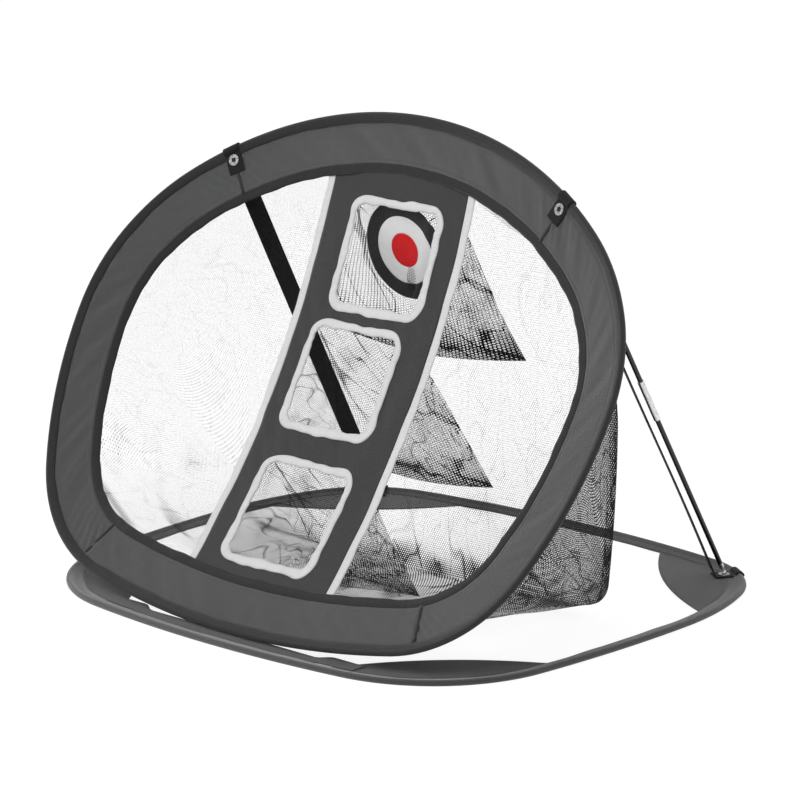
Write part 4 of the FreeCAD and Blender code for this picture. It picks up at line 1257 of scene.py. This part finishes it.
class NET_OT_webbing(bpy.types.Operator):
    """Makes the four webbing tabs and the two long straps"""
    bl_idname = "chipping_net.webbing"
    bl_label = "Tabs and straps"

    def execute(self, context):
        s_ = sizes()
        bend = WEBBING_BEND
        for side, sign in SIDES:
            # base tab: over the tube and inwards on the hem
            heading = 180 - sign * BASE_TAB_CORNER
            way = Vector((*facing(heading), 0))
            across = Vector((0, 0, 1)).cross(way)
            root = Vector((*point(BASE, heading, TUBE), TUBE))
            leaf = FABRIC_TOP + TAB_GAP - TUBE
            path = [root + way * (bend * math.cos(a)) + Vector((0, 0, bend * math.sin(a)))
                    for a in [math.radians(-5 + 9 * k) for k in range(20)]]
            path += [root - way * (bend + 0.025 * k / 16) + Vector((0, 0, leaf)) for k in range(17)]
            eyelet = root - way * (0.020 - TUBE) + Vector((0, 0, leaf))
            piece = ribbon(f"base_tab_{side}_webbing", path, across, s_.webbing_width,
                           WEBBING_WALL, (0.055, 0.022), [(eyelet, EYELET_HOLE)])
            dressed(piece, "base", "webbing", f"base_tab_{side}")
            # front tab: right round the tube, a leaf on each face of the band
            heading = 180 - sign * TOP_SEAM
            plane = facing(heading)
            spot = point(FRONT, heading, TUBE)
            middle = on_front(spot.x, spot.y)
            hoop_way = on_front(spot.x + plane.x, spot.y + plane.y) - middle
            normal = on_front(spot.x, spot.y, 1.0) - middle
            dish = s_.dish
            way = (hoop_way * math.cos(dish) - normal * math.sin(dish)).normalized()
            up = (normal * math.cos(dish) + hoop_way * math.sin(dish)).normalized()
            across = up.cross(way)
            leaf = 0.0006 + TAB_GAP
            turns = [math.radians(-160 + 16 * k) for k in range(21)]
            loop = [middle + way * (bend * math.cos(a)) + up * (bend * math.sin(a)) for a in turns]
            first = [middle - way * (0.03 - 0.0245 * k / 16) - up * leaf for k in range(17)]
            last = [middle - way * (0.0055 + 0.0245 * k / 16) + up * leaf for k in range(17)]
            eyelet = middle - way * (0.017 - TUBE)
            holes = [(eyelet + up * leaf, EYELET_HOLE), (eyelet - up * leaf, EYELET_HOLE)]
            piece = ribbon(f"front_tab_{side}_webbing", first + loop + last, across,
                           s_.webbing_width, WEBBING_WALL, (0.095, 0.022), holes)
            dressed(piece, "front", "webbing", f"front_tab_{side}")
            # strap from tab to tab
            low = Vector((*point(BASE, 180 - sign * BASE_TAB_CORNER, 0.034), FABRIC_TOP + 0.0053))
            inset = 0.031
            p = point(FRONT, 180 - sign * TOP_SEAM, inset)
            high = on_front(p.x, p.y, drawn_back(inset) + 0.0024 + 0.0065)
            turn = math.radians(42)
            broad = Vector((-sign * math.cos(turn), math.sin(turn), 0))
            along = high - low
            broad = (broad - along * (broad.dot(along) / along.length_squared)).normalized()
            thin = broad.cross(along).normalized()
            path = []
            for k in range(121):
                s = k / 120
                sway = 0.0016 * math.sin(math.pi * s) + 0.0006 * math.sin(9 * s)
                path.append(low.lerp(high, s) + thin * sway)
            piece = ribbon(f"strap_{side}_webbing", path, broad, s_.webbing_width, WEBBING_WALL,
                           (along.length, 0.022))
            dressed_soft(piece, "base", "webbing", (0, 0, low.z), f"strap_{side}")
        return {"FINISHED"}


class NET_OT_hardware(bpy.types.Operator):
    """Gives the wires, eyelets, poles and cords their finishes"""
    bl_idname = "chipping_net.hardware"
    bl_label = "Hardware"

    def execute(self, context):
        refinish(fabric("Spring steel"), "base_wire", "front_wire", "base_wire_crimp",
                 "front_wire_crimp")
        for side, _ in SIDES:
            refinish(fabric("Bright eyelet"), f"base_grommet_{side}", f"front_grommet_{side}")
            refinish(fabric("Pole rod"), f"pole_rod_low_{side}", f"pole_rod_top_{side}")
            refinish(fabric("Ferrule aluminium"), f"pole_ferrule_{side}", f"pole_tip_low_{side}",
                     f"pole_tip_top_{side}")
            refinish(fabric("Elastic cord"), f"shock_cord_{side}")
        return {"FINISHED"}


def seen_directly(w):
    """1 for rays from the camera, a reflection or through glass, and 0 for the rest."""
    path = w.tree.nodes.new("ShaderNodeLightPath")
    return w.math("MAXIMUM", w.math("MAXIMUM", path.outputs["Is Camera Ray"],
                                    path.outputs["Is Glossy Ray"]),
                  path.outputs["Is Transmission Ray"])


class NET_OT_stage(bpy.types.Operator):
    """Makes the pale floor, the soft lights and the camera"""
    bl_idname = "chipping_net.stage"
    bl_label = "Stage"

    def execute(self, context):
        scene = context.scene
        scene.view_settings.view_transform = "Standard"
        bm = bmesh.new()
        bmesh.ops.create_grid(bm, x_segments=1, y_segments=1, size=8)
        bmesh.ops.translate(bm, verts=bm.verts, vec=(0, 0, -0.0002))
        material = bpy.data.materials.new("Floor")
        material.use_nodes = True
        tree = material.node_tree
        tree.nodes.clear()
        out = tree.nodes.new("ShaderNodeOutputMaterial")
        mix = tree.nodes.new("ShaderNodeMixShader")
        matt = tree.nodes.new("ShaderNodeBsdfDiffuse")
        glow = tree.nodes.new("ShaderNodeEmission")
        matt.inputs["Color"].default_value = (0.8, 0.8, 0.8, 1)
        w = Wiring(tree)
        w.link(w.math("MULTIPLY", seen_directly(w), 0.72), mix.inputs[0])
        tree.links.new(matt.outputs[0], mix.inputs[1])
        tree.links.new(glow.outputs[0], mix.inputs[2])
        glow.inputs["Strength"].default_value = 1.24
        tree.links.new(mix.outputs[0], out.inputs[0])
        floor = finished("floor", bm, material)

        world = bpy.data.worlds.new("Studio")
        scene.world = world
        world.use_nodes = True
        tree = world.node_tree
        w = Wiring(tree)
        background = tree.nodes["Background"]
        w.link(w.ramp(seen_directly(w), 0.0, 1.0, 0.55, 1.0), background.inputs["Strength"])
        background.inputs["Color"].default_value = (1, 1, 1, 1)

        for name, spot, size, power in (("key", (0.9, -2.6, 2.9), 1.8, 62),
                                        ("fill", (-2.4, -2.2, 1.2), 2.2, 14)):
            light = bpy.data.lights.new(name, "AREA")
            light.shape, light.size, light.energy = "DISK", size, power
            lamp = bpy.data.objects.new(name, light)
            scene.collection.objects.link(lamp)
            lamp.location = spot
            aim = Vector((0, -0.1, 0.25)) - Vector(spot)
            lamp.rotation_euler = aim.to_track_quat("-Z", "Y").to_euler()

        lens = bpy.data.cameras.new("camera")
        lens.lens, lens.sensor_width = 144, 36
        lens.clip_start, lens.clip_end = 0.1, 60
        camera = bpy.data.objects.new("camera", lens)
        scene.collection.objects.link(camera)
        eye, aim = Vector((2.4534, -2.735, 1.1084)), Vector((0.0003, 0.0002, 0.2225))
        camera.location = eye
        camera.rotation_euler = (aim - eye).to_track_quat("-Z", "Y").to_euler()
        scene.camera = camera
        return {"FINISHED"}


class NET_PT_panel(bpy.types.Panel):
    bl_idname = "NET_PT_panel"
    bl_label = "Chipping net"
    bl_space_type = "VIEW_3D"
    bl_region_type = "UI"
    bl_category = "Chipping Net"

    def draw(self, context):
        for group in (sizes(), colours()):
            for name in group.__annotations__:
                self.layout.prop(group, name)
        for operator in STEPS:
            self.layout.operator(operator.bl_idname)


STEPS = (NET_OT_finishes, NET_OT_base_sleeve, NET_OT_gussets, NET_OT_front_sleeve, NET_OT_band,
         NET_OT_binding, NET_OT_panel, NET_OT_windows, NET_OT_pockets, NET_OT_target,
         NET_OT_net_bag, NET_OT_webbing, NET_OT_hardware, NET_OT_stage)
CLASSES = (ChippingNetSizes, ChippingNetColours, *STEPS, NET_PT_panel)


def register():
    for cls in CLASSES:
        bpy.utils.register_class(cls)
    bpy.types.Scene.chipping_net_sizes = PointerProperty(type=ChippingNetSizes)
    bpy.types.Scene.chipping_net_colours = PointerProperty(type=ChippingNetColours)


def unregister():
    del bpy.types.Scene.chipping_net_colours
    del bpy.types.Scene.chipping_net_sizes
    for cls in reversed(CLASSES):
        bpy.utils.unregister_class(cls)


def main():
    register()
    for operator in STEPS:
        group, name = operator.bl_idname.split(".")
        getattr(getattr(bpy.ops, group), name)()


if __name__ == "__main__":
    main()
